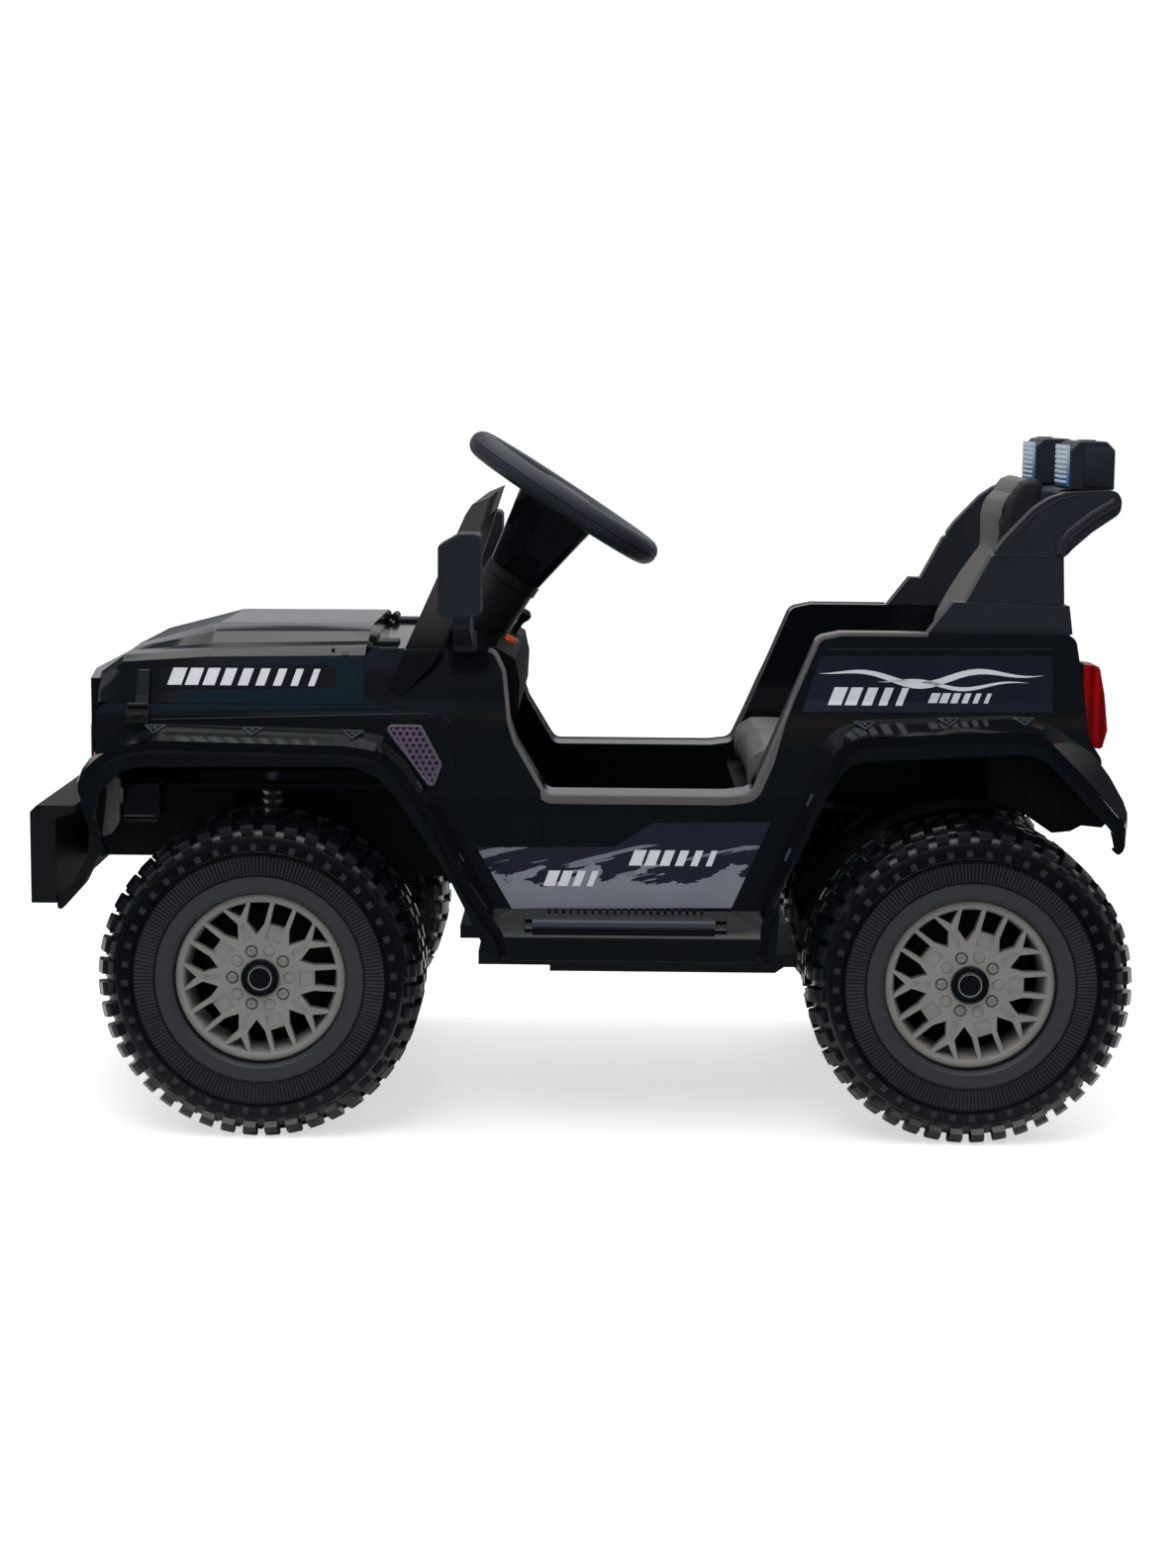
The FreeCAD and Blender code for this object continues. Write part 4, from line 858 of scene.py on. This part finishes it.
def laid(name, outline, lift=0.4, thick=0.6, surface=skin):
    """An (x, z) outline laid on the left side, cut at its folds, and given a thickness."""
    piece = trace(name, at(-300, outline))
    shape(piece)
    for fold in FOLDS:
        every()
        bpy.ops.mesh.bisect(plane_co=(0, 0, fold * MM), plane_no=(0, 0, 1))
    done()
    for vertex in piece.data.vertices:
        vertex.co.y = -(surface(vertex.co.x / MM, vertex.co.z / MM) + lift) * MM
    return thicken(piece, (0, thick, 0))


def rib(name, points, radius, closed=False):
    """A round bead along a line of points in mm."""
    piece = trace(name, points + points[:1] if closed else points, closed=False)
    if closed:
        weld(piece)
        done()
    choose(piece)
    bpy.ops.object.convert(target="CURVE")
    piece = bpy.context.object
    piece.data.bevel_depth = radius * MM
    piece.data.bevel_resolution = 2
    piece.data.use_fill_caps = True
    bpy.ops.object.convert(target="MESH")
    return smooth(bpy.context.object, 60)


def side_rib(name, line, radius, lift=0.0, closed=False):
    return rib(name, [(x, -skin(x, z) - lift, z) for x, z in line], radius, closed)


def both_sides(piece, title, material, width=0.0, nodes=()):
    """The left piece, or the pieces as one, finished, and its mirror image on the right."""
    if isinstance(piece, list):
        piece = join(title, piece)
    if width:
        smooth(soften(piece, width, 30))
    twin = copy_of(piece, f"{title}_right", MIRROR)
    piece.name = f"{title}_left"
    for made, side in ((piece, "left"), (twin, "right")):
        finish_piece(made, material, "body", [f"{node}_{side}" for node in nodes])


def stack(piece, count, step):
    """The piece repeated along one step in mm."""
    return modify(piece, "ARRAY", count=count, use_relative_offset=False,
                  use_constant_offset=True, constant_offset_displace=Vector(step) * MM)


def strip(name, first, second, thick=1.2):
    """A band between two lines of points in mm."""
    piece = join(name, [trace(name, line, closed=False) for line in (first, second)])
    shape(piece, "EDGE")
    every()
    bpy.ops.mesh.bridge_edge_loops()
    done()
    modify(piece, "SOLIDIFY", thickness=thick * MM, offset=0)
    return smooth(piece)


# The arches' outer edges and their roots on the body, as (x, z) in mm
FRONT_RIDGE = [
    (-507, 351), (-507, 362), (-504, 370.5), (-500.3, 375.2), (-490.9, 384.5), (-484.4, 389.4),
    (-472.2, 396.2), (-463.5, 399.4), (-436.2, 404.9), (-429.8, 405.4), (-237.4, 401.6),
    (-208.4, 396.9), (-202, 395.1), (-196.1, 391.8), (-183.5, 380.8), (-179, 375.6),
    (-147.2, 330.4), (-116.6, 269.9), (-94.9, 235)]
FRONT_ROOT = [
    (-510, 350), (-511.5, 361), (-507, 373), (-500, 383), (-487, 393.5), (-480.5, 399),
    (-469, 407), (-460.5, 411.5), (-435, 418), (-429.5, 418.6), (-236.4, 415), (-206, 410),
    (-198.5, 406.5), (-192.5, 401.5), (-178.2, 387.4), (-172.8, 380.5), (-141, 334),
    (-109.5, 274), (-89, 239.5)]
REAR_RIDGE = [
    (193, 232.3), (205.4, 261.8), (255.4, 396.4), (258, 400.9), (263.4, 406.5), (269.1, 410.2),
    (276.5, 412.8), (289.3, 415.3), (292.3, 415.6), (433.9, 422.3), (439.4, 422),
    (459.7, 417.4), (467.5, 414.4), (474.1, 409.4), (507.4, 376.1), (523.2, 358.6), (539, 341),
    (545.5, 334), (549, 325), (549, 307)]
REAR_ROOT = [
    (183.5, 238), (194, 267), (243, 400.5), (246, 406.5), (253, 414.5), (261, 420.5),
    (271.5, 425), (287, 428.5), (291.6, 429), (433.5, 435.5), (441.5, 435), (464, 430),
    (476, 426), (487, 419.5), (519, 398), (536, 375), (549.5, 351), (554, 339), (554.5, 325),
    (552.5, 306)]


def flare_marks():
    """Three small triangular screw seats on the band above each arch, and slots below."""
    pieces = []
    for x, high in ((-433, 418.2), (-334, 416.8), (-232, 414.6), (287, 428.4), (372, 432.5),
                    (448, 433.5)):
        root = Vector((x, -skin(x, high) - 0.5, high))
        ridge = Vector((x, FLARE_SIDE, high - 13.4))
        down = (ridge - root).normalized()
        out = Vector((0, down.z, -down.y))
        half = Vector((11.5, 0, 0))
        piece = trace("mark", [root + down * 4 - half, root + down * 4 + half, root + down * 21])
        thicken(piece, out * 2.4)
        shape(piece)
        pick(piece, lambda face: face.normal.dot(out) > 0.9)
        inset(1.5)
        bpy.ops.mesh.extrude_region_move(TRANSFORM_OT_translate={"value": out * -2.1 * MM})
        done()
        pieces.append(smooth(soften(piece, 0.3, 30, 1)))
        middle = root + down * 9.5
        pieces.append(rib("screw", [middle, middle + out * 2], 2.1))
    for root, ridge in (((-161, 364), (-167, 359)), ((-118, 290), (-125, 286)),
                        ((226, 354), (237, 347)), ((205, 298), (216, 291))):
        start = Vector((root[0], -skin(*root), root[1]))
        middle = start.lerp(Vector((ridge[0], FLARE_SIDE, ridge[1])), 0.5)
        course = Vector((5.5, 0, 13) if root[0] > 0 else (4.5, 0, -8)) / 2
        pieces.append(rib("slot", [middle - course, middle + course], 1.7))
    return pieces


COCKPIT = [(-96.4, 496), (-92.3, 494.9), (-89.6, 493.2), (-86.7, 489.5), (-80.2, 476.8),
           (-78.9, 472.8), (-75.9, 448), (-72.9, 422.9), (-66.7, 404), (-38.8, 356.9),
           (-35.8, 353.6), (-31.6, 351.4), (-28.5, 351), (146.8, 351), (166.2, 353.4),
           (170.1, 354.7), (173.9, 357.7), (175.5, 360.4), (187.9, 388), (204.6, 428),
           (213, 448), (237.3, 506.2), (240, 510.2), (244.1, 512.8), (263.4, 517), (351, 517)]


def beside(line, step):
    """A line moved sideways by a step in mm, to the right of its course."""
    moved = []
    for number, (x, z) in enumerate(line):
        before = line[max(number - 1, 0)]
        after = line[min(number + 1, len(line) - 1)]
        course = Vector((after[0] - before[0], after[1] - before[1])).normalized()
        moved.append((x + course.y * step, z - course.x * step))
    return moved


def bars(first, last, low, high, count, lean):
    """Leaning bars from wide to narrow, as outlines."""
    pitch = (last - first) / count
    made = []
    for number in range(count):
        left = first + pitch * number
        right = left + pitch * (0.8 - 0.5 * number / count)
        made.append([(left, low), (right, low), (right + lean, high), (left + lean, high)])
    return made


def dune(first, last, base, rise, depth, waves):
    """A long wave that thins out to both ends, as an outline."""
    upper, lower = [], []
    for number in range(25):
        share = number / 24
        x = first + (last - first) * share
        crest = base + rise * math.sin(share * math.pi * waves) * math.sin(share * math.pi)
        upper.append((x, crest))
        lower.append((x, crest - depth * math.sin(share * math.pi)))
    return upper + lower[-2:0:-1]


def add_decals():
    """Printed films with plain motifs."""
    both_sides(laid("sill_film", [(-106, 297), (34, 299), (73, 324), (193, 326), (154.5, 237),
                                  (-70, 234)]), "sill_film", "decal_splash")
    both_sides(laid("rear_film", [(224, 437), (242, 493.5), (477, 496), (479, 438.5)]),
               "rear_film", "decal_navy")
    both_sides(laid("hood_film", [(-432, 453), (-433, 475.5), (-252, 479), (-251, 456.5)],
                    lift=0.9, surface=hood_skin), "hood_film", "decal_dark")
    marks = [laid("mark", outline, 0.8) for outline in
             bars(49, 143, 280, 296, 6, 6) + bars(-38, 21, 258, 274, 4, 6)
             + bars(250, 336, 444, 462, 5, 7) + bars(352, 420, 447, 457, 6, 4)
             + [dune(240, 470, 476, 8, 7, 3.4), dune(300, 455, 468, 5, 4, 2.6)]]
    marks += [laid("mark", outline, 1.3, surface=hood_skin)
              for outline in bars(-424, -262, 457.5, 474.5, 9, 6)]
    both_sides(marks, "film_marks", "decal_white")


def lens_form(name, half, lift, low, high):
    """A lens whose front bows forward, on the roof lamp's face."""
    plan = []
    for number in range(-6, 7):
        share = number / 6
        plan.append((496 - lift + 3 * (share * half / 44) ** 2, -115 + share * half))
    plan += [(500, -115 + half), (500, -115 - half)]
    piece = trace(name, [(x, y, low) for x, y in plan])
    return thicken(piece, (0, 0, high - low))


def rear_wells():
    """The inner arch over each rear tyre, beside the seat, and the wall behind it."""
    reach = 177
    arc = [(396 + reach * math.cos(angle), 165 + reach * math.sin(angle))
           for angle in (math.radians(74 + 8 * number) for number in range(12))]
    both_sides(strip("rear_well", at(-236, arc), at(-128, arc)), "rear_well", "pit_black")
    wall = [(414, 402), (473, 402), (540, 332), (531, 322), (510, 324), (499, 318), (480, 316),
            (452, 335), (414, 350)]
    both_sides(plate("wall", -241, wall, 5), "rear_liner", "pit_black", 1.2)


def head_pillow():
    """The head rest, a cushion of its own on the seat back."""
    front = [(446, 601), (444.5, 616), (449, 642), (455, 658), (462, 667.5), (471, 671),
             (480, 669.5), (486, 662)]
    piece = plate("pillow", -78, front + [(484, 640), (476, 612), (468, 600)], 156)
    smooth(soften(piece, 7, 50, 4), 60)
    finish_piece(piece, "seat_leather", "body")
    seams = rib("seam", [(x + 0.8, -72.5, z - 0.8) for x, z in front], 1.1)
    both_sides(seams, "head_seam", "satin_grey")


def add_body_forms():
    for name, ridge, root in (("front_band", FRONT_RIDGE, FRONT_ROOT),
                              ("rear_band", REAR_RIDGE, REAR_ROOT)):
        both_sides(strip(name, at(FLARE_SIDE, ridge),
                         [(x, -skin(x, z) - 0.5, z) for x, z in root]), name, "gloss_black")
    both_sides(flare_marks(), "flare_marks", "smoked")
    wide, narrow = beside(COCKPIT, 8.5), beside(COCKPIT, 3.2)
    inner = narrow[:10] + wide[10:19] + narrow[19:]
    edge = beside(COCKPIT, -1.0) + inner[::-1]
    both_sides(laid("cockpit_trim", edge, 1.0, 9.0), "cockpit_trim", "trim_grey", 1.6)
    latch = [soften(laid("leaf", outline, 5, 6), width, 30) for outline, width in (
        ([(-463, 419), (-440, 419), (-440, 438), (-463, 438)], 1.2),
        ([(-455, 434), (-441, 434), (-441, 473), (-454, 473)], 1.4))]
    latch += [rib("pin", [(-462, -238.5, 438), (-441, -238.5, 438)], 2.6),
              rib("pin", [(-457, -240.5, 428), (-446, -240.5, 428)], 2.2)]
    both_sides(latch, "hood_latch", "matt_black")
    crease = [(-438, 423), (-302, 427), (-160, 431.5), (-144, 429.5), (-134.5, 423),
              (-130, 411), (-128, 380), (-127, 333)]
    lines = [side_rib("crease", crease, 0.9),
             side_rib("joint", [(-39, 341), (-39, 300)], 0.5),
             side_rib("joint", [(149, 341), (149, 328)], 0.5),
             side_rib("strip", [(248, 500), (478, 502.5)], 0.6),
             rib("lip", [(-77.4, -285, 211), (182.8, -285, 211)], 0.9),
             rib("screw", [(-243, -211, 490.5), (-243, -204, 483)], 3.2),
             rib("screw", [(-256, -204.5, 495.5), (-256, -199, 488)], 1.8)]
    both_sides(lines, "side_lines", "gloss_black")
    both_sides(rib("bar", [(-48, -275, 223.5), (137, -275, 223.5)], 5), "step_bar", "smoked")
    teeth = stack(block("tooth", (-33, -258, 230), (-30.2, -251, 235.5)), 22, (7.4, 0, 0))
    both_sides(teeth, "step_teeth", "gloss_black")
    vent = [(-193, 419.4), (-165.5, 419.4), (-162.6, 417.5), (-143.2, 382.4), (-143.2, 380.4),
            (-149.5, 363.2), (-152, 361.1), (-155.2, 361.6), (-196, 415.3), (-195.6, 418)]
    both_sides(side_rib("vent_lip", vent, 1.3, 3.8, True), "vent_lip", "vent_lip")
    arm = [rib("rim", at(-213, [(484, 598), (486.5, 610), (493, 620), (517, 639), (536, 650),
                                (539, 653)]), 6),
           rib("line", at(-214, [(424, 598), (435, 615), (459, 640), (482, 654), (500, 658)]),
               0.9),
           rib("seam", at(-214, [(417, 596.5), (488, 596.5)]), 0.9)]
    both_sides(arm, "arm_rim", "satin_grey")
    both_sides(lens_form("lens", 44, 0, 666, 708), "lens_form", "lamp_blue", 1.0,
               ["roof_lamp_lens"])
    bar = lens_form("bar", 36, 0.5, 668.6, 671.2)
    both_sides(stack(soften(bar, 0.5, 30), 8, (0, 0, 5)), "lamp_bars", "lamp_bars")
    pod = [soften(block("cap", low, high), 1.2, 30) for low, high in (
        ((514, -164.4, 665), (543, -150, 706)), ((512, -150, 706), (528, -128, 713.4)))]
    both_sides(smooth(join("pod", pod)), "pod_forms", "satin_grey")
    liner = [(-493, 362), (-478, 369), (-470, 362), (-471, 318), (-479, 306), (-489, 303),
             (-495, 316)]
    both_sides(plate("liner", -241, liner, 5), "liner", "trim_grey", 1.4)
    arch = [block("arch", (-468, -238, 324), (-430, -196, 358)),
            block("frame", (505.5, -221.2, 398.6), (510.5, -213, 489))]
    both_sides(arch, "arch_forms", "gloss_black", 1.2)
    hinge = [soften(block("leaf", (-218, -170, 494), (-192, -132, 500)), 1.5, 30),
             rib("pin", [(-218, -172, 501.5), (-218, -130, 501.5)], 4.5)]
    both_sides(hinge, "hinge", "matt_black")
    head = [rib("curve", at(-325.3, [(-134, 562), (-134, 585), (-128, 596), (-120, 600)]), 0.7),
            rib("line", at(-325.3, [(-117, 617), (-117, 539)]), 0.7),
            rib("boot", at(-211, [(-121, 494), (-121, 514)]), 12.5),
            rib("boot", at(-213, [(-121, 512), (-121, 531)]), 9.5)]
    both_sides(head, "mirror_forms", "satin_grey")


def flat_lamps():
    """Headlamps that follow the nose and corner lamps that lie against it."""
    for name, rule, step, material in (
            ("headlamp", lambda spot: spot.x < -0.51 and spot.y < -0.19, 7.0, "lamp_clear"),
            ("indicator", lambda spot: spot.x < -0.505, 12.4, "lamp_amber")):
        piece = node_copy(f"{name}_left", f"{name}_form")
        shape(piece, "VERT")
        pick(piece, lambda vertex: rule(vertex.co), "verts")
        bpy.ops.transform.translate(value=(step * MM, 0, 0))
        done()
        both_sides(piece, f"{name}_form", material, 0.8, [name])


# Padded seat
def padded(name, shrink, cap):
    """The node's form drawn in, remeshed, blown up as cloth and rounded."""
    piece = node_copy(name, f"{name}_pad")
    modify(piece, "REMESH", mode="VOXEL", voxel_size=5 * MM)
    modify(piece, "DISPLACE", strength=-shrink * MM, mid_level=0.0)
    modify(piece, "SMOOTH", factor=0.5, iterations=6)
    start = [vertex.co.copy() for vertex in piece.data.vertices]
    choose(piece)
    cloth = piece.modifiers.new("cloth", "CLOTH")
    cloth.settings.use_pressure = True
    cloth.settings.uniform_pressure_force = 4
    cloth.settings.effector_weights.gravity = 0
    scene.frame_start, scene.frame_end = 1, 20
    for number in range(1, 21):
        scene.frame_set(number)
    bpy.ops.object.modifier_apply(modifier="cloth")
    scene.frame_set(1)
    for vertex, before in zip(piece.data.vertices, start):
        step = vertex.co - before
        if step.length > cap * MM:
            vertex.co = before + step * (cap * MM / step.length)
    modify(piece, "SMOOTH", factor=0.5, iterations=3)
    modify(piece, "SUBSURF", levels=1, render_levels=1)
    low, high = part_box(name)
    for vertex in piece.data.vertices:
        for axis in range(3):
            vertex.co[axis] = max(low[axis], min(high[axis], vertex.co[axis]))
    choose(piece)
    bpy.ops.object.shade_smooth()
    finish_piece(piece, "seat_leather", body_of(name), nodes=[name])


# Studio: pale floor, white surroundings, soft lamps
def card_finish(name, tones, fading=False):
    """A card seen only in reflections, with its own tones from foot to top."""
    card = Finish(name)
    along, height, _ = card.split(card.place())
    tone = card.ramp(height + 0.5, tones)
    if fading:
        fade = card.ramp(along + 0.5, [(place, *(grey,) * 3) for place, grey in (
            (0, 0.8), (0.31, 0.8), (0.345, 0), (0.41, 0), (0.45, 0.75), (1, 0.85))])
        band = (height > -0.13) * (height < 0.11)
        tone = card.mix(fade * band, tone, (0.03, 0.04, 0.05, 1))
    card.set(Emission_Color=tone, Emission_Strength=1, Base_Color=(0, 0, 0, 1))
    return card.block


def add_card(name, scale, place, turn, finish):
    deselect()
    bpy.ops.mesh.primitive_plane_add(size=1)
    card = bpy.context.object
    card.name = name
    card.scale = scale
    card.location = place
    card.rotation_euler = turn
    card.visible_camera = card.visible_diffuse = card.visible_shadow = False
    card.data.materials.append(finish)


def add_world():
    """White where the camera and reflections look, dimmer as a lamp."""
    sky = Finish("studio", "worlds")
    scene.world = sky.block
    sky.tree.nodes.remove(sky.tree.nodes["Background"])
    camera, glossy, clear = (sky.node("ShaderNodeLightPath", output=f"Is {kind} Ray")
                             for kind in ("Camera", "Glossy", "Transmission"))
    seen = camera.maths("MAXIMUM", glossy).maths("MAXIMUM", clear)
    dim = sky.node("ShaderNodeBackground", (0.98, 0.99, 1, 1), 0.5)
    white = sky.node("ShaderNodeBackground", (1, 1, 1, 1), 1)
    sky.link(sky.node("ShaderNodeMixShader", seen, dim, white),
             sky.tree.nodes["World Output"].inputs[0])


def add_lamps():
    for name, place, size, power in (("top", (-0.2, -0.3, 3.0), 3.4, 42),
                                     ("side", (-0.6, -2.6, 3.1), 1.8, 34),
                                     ("back", (0.8, 3.2, 2.2), 2.4, 22)):
        data = bpy.data.lights.new(name, "AREA")
        data.energy = power
        data.size = size
        lamp = bpy.data.objects.new(name, data)
        scene.collection.objects.link(lamp)
        lamp.location = place
        lamp.visible_glossy = name != "side"
        lamp.rotation_euler = (Vector((0, 0, 0.3)) - lamp.location).to_track_quat(
            "-Z", "Y").to_euler()


def add_cards():
    """Dark cards on the floor and all round, as wide as the room that the car reflects."""
    foot, top = (0, 0.02, 0.03, 0.04), (1, 0.5, 0.5, 0.5)
    near = card_finish("near_card", (
        foot, (0.085, 0.05, 0.085, 0.12), (0.21, 0.03, 0.04, 0.05), (0.28, 0.2, 0.12, 0.09),
        (0.36, 0.05, 0.1, 0.15), (0.39, 0.1, 0.38, 0.66), (0.408, 0.1, 0.36, 0.62),
        (0.413, 0.7, 0.4, 0.3), (0.418, 0.5, 0.28, 0.2), (0.423, 0.04, 0.06, 0.08),
        (0.46, 0.04, 0.06, 0.08), (0.53, 0.08, 0.3, 0.5), (0.57, 0.08, 0.3, 0.5),
        (0.63, 0.05, 0.08, 0.1), (0.85, 0.06, 0.08, 0.1), top), True)
    far = card_finish("far_card", (
        foot, (0.14, 0.05, 0.06, 0.07), (0.2, 0.44, 0.44, 0.46), (0.4, 0.44, 0.44, 0.46),
        (0.52, 0.05, 0.06, 0.07), (0.9, 0.05, 0.06, 0.07), top))
    aft = card_finish("aft_card", (foot, (0.3, 0.05, 0.06, 0.08), (0.7, 0.1, 0.1, 0.11), top))
    dark = card_finish("dark_card", (foot, (1, 0.05, 0.06, 0.08)))
    width = 6.8
    add_card("dark_floor_card", (width, 2.9, 1), (0, -2.0, 0.004), (0, 0, 0), dark)
    for number, (height, finish) in enumerate(((6, near), (3, aft), (3.4, far), (3, aft))):
        turn = number * math.pi / 2
        place = Matrix.Rotation(turn, 4, "Z") @ Vector((0, -3.4, height / 2 + 0.01))
        add_card(f"dark_card_{number}", (width, height, 1), place, (math.pi / 2, 0, turn), finish)


def add_floor():
    """A matt floor that glows a little to the camera, so that only the shadow shows."""
    deselect()
    bpy.ops.mesh.primitive_plane_add(size=16, location=(0, 0, 0))
    floor = bpy.context.object
    floor.name = "floor"
    finish = Finish("floor")
    finish.set(Base_Color=(0.8, 0.8, 0.8, 1), Roughness=0.7)
    matt = Value(finish, finish.shader.outputs[0])
    both = finish.node("ShaderNodeAddShader", matt, finish.node("ShaderNodeEmission", Strength=0.6))
    seen = finish.node("ShaderNodeLightPath", output="Is Camera Ray")
    finish.link(finish.node("ShaderNodeMixShader", seen, matt, both),
                finish.tree.nodes["Material Output"].inputs[0])
    floor.data.materials.append(finish.block)


scene = bpy.context.scene
scene.view_settings.view_transform = "Standard"
add_camera()
add_world()
add_lamps()
add_cards()
add_floor()
dress_nodes()
place_wheels()
mould_pieces()
make_steering_wheel()
make_housing()
add_body_forms()
head_pillow()
rear_wells()
finish_piece(block("grille_back", (-487, -150, 345), (-484, 150, 445)), "pit_black", "body")
add_decals()
flat_lamps()
padded("seat_cushion", 3, 8)
padded("seat_back", 3, 9)
deselect()
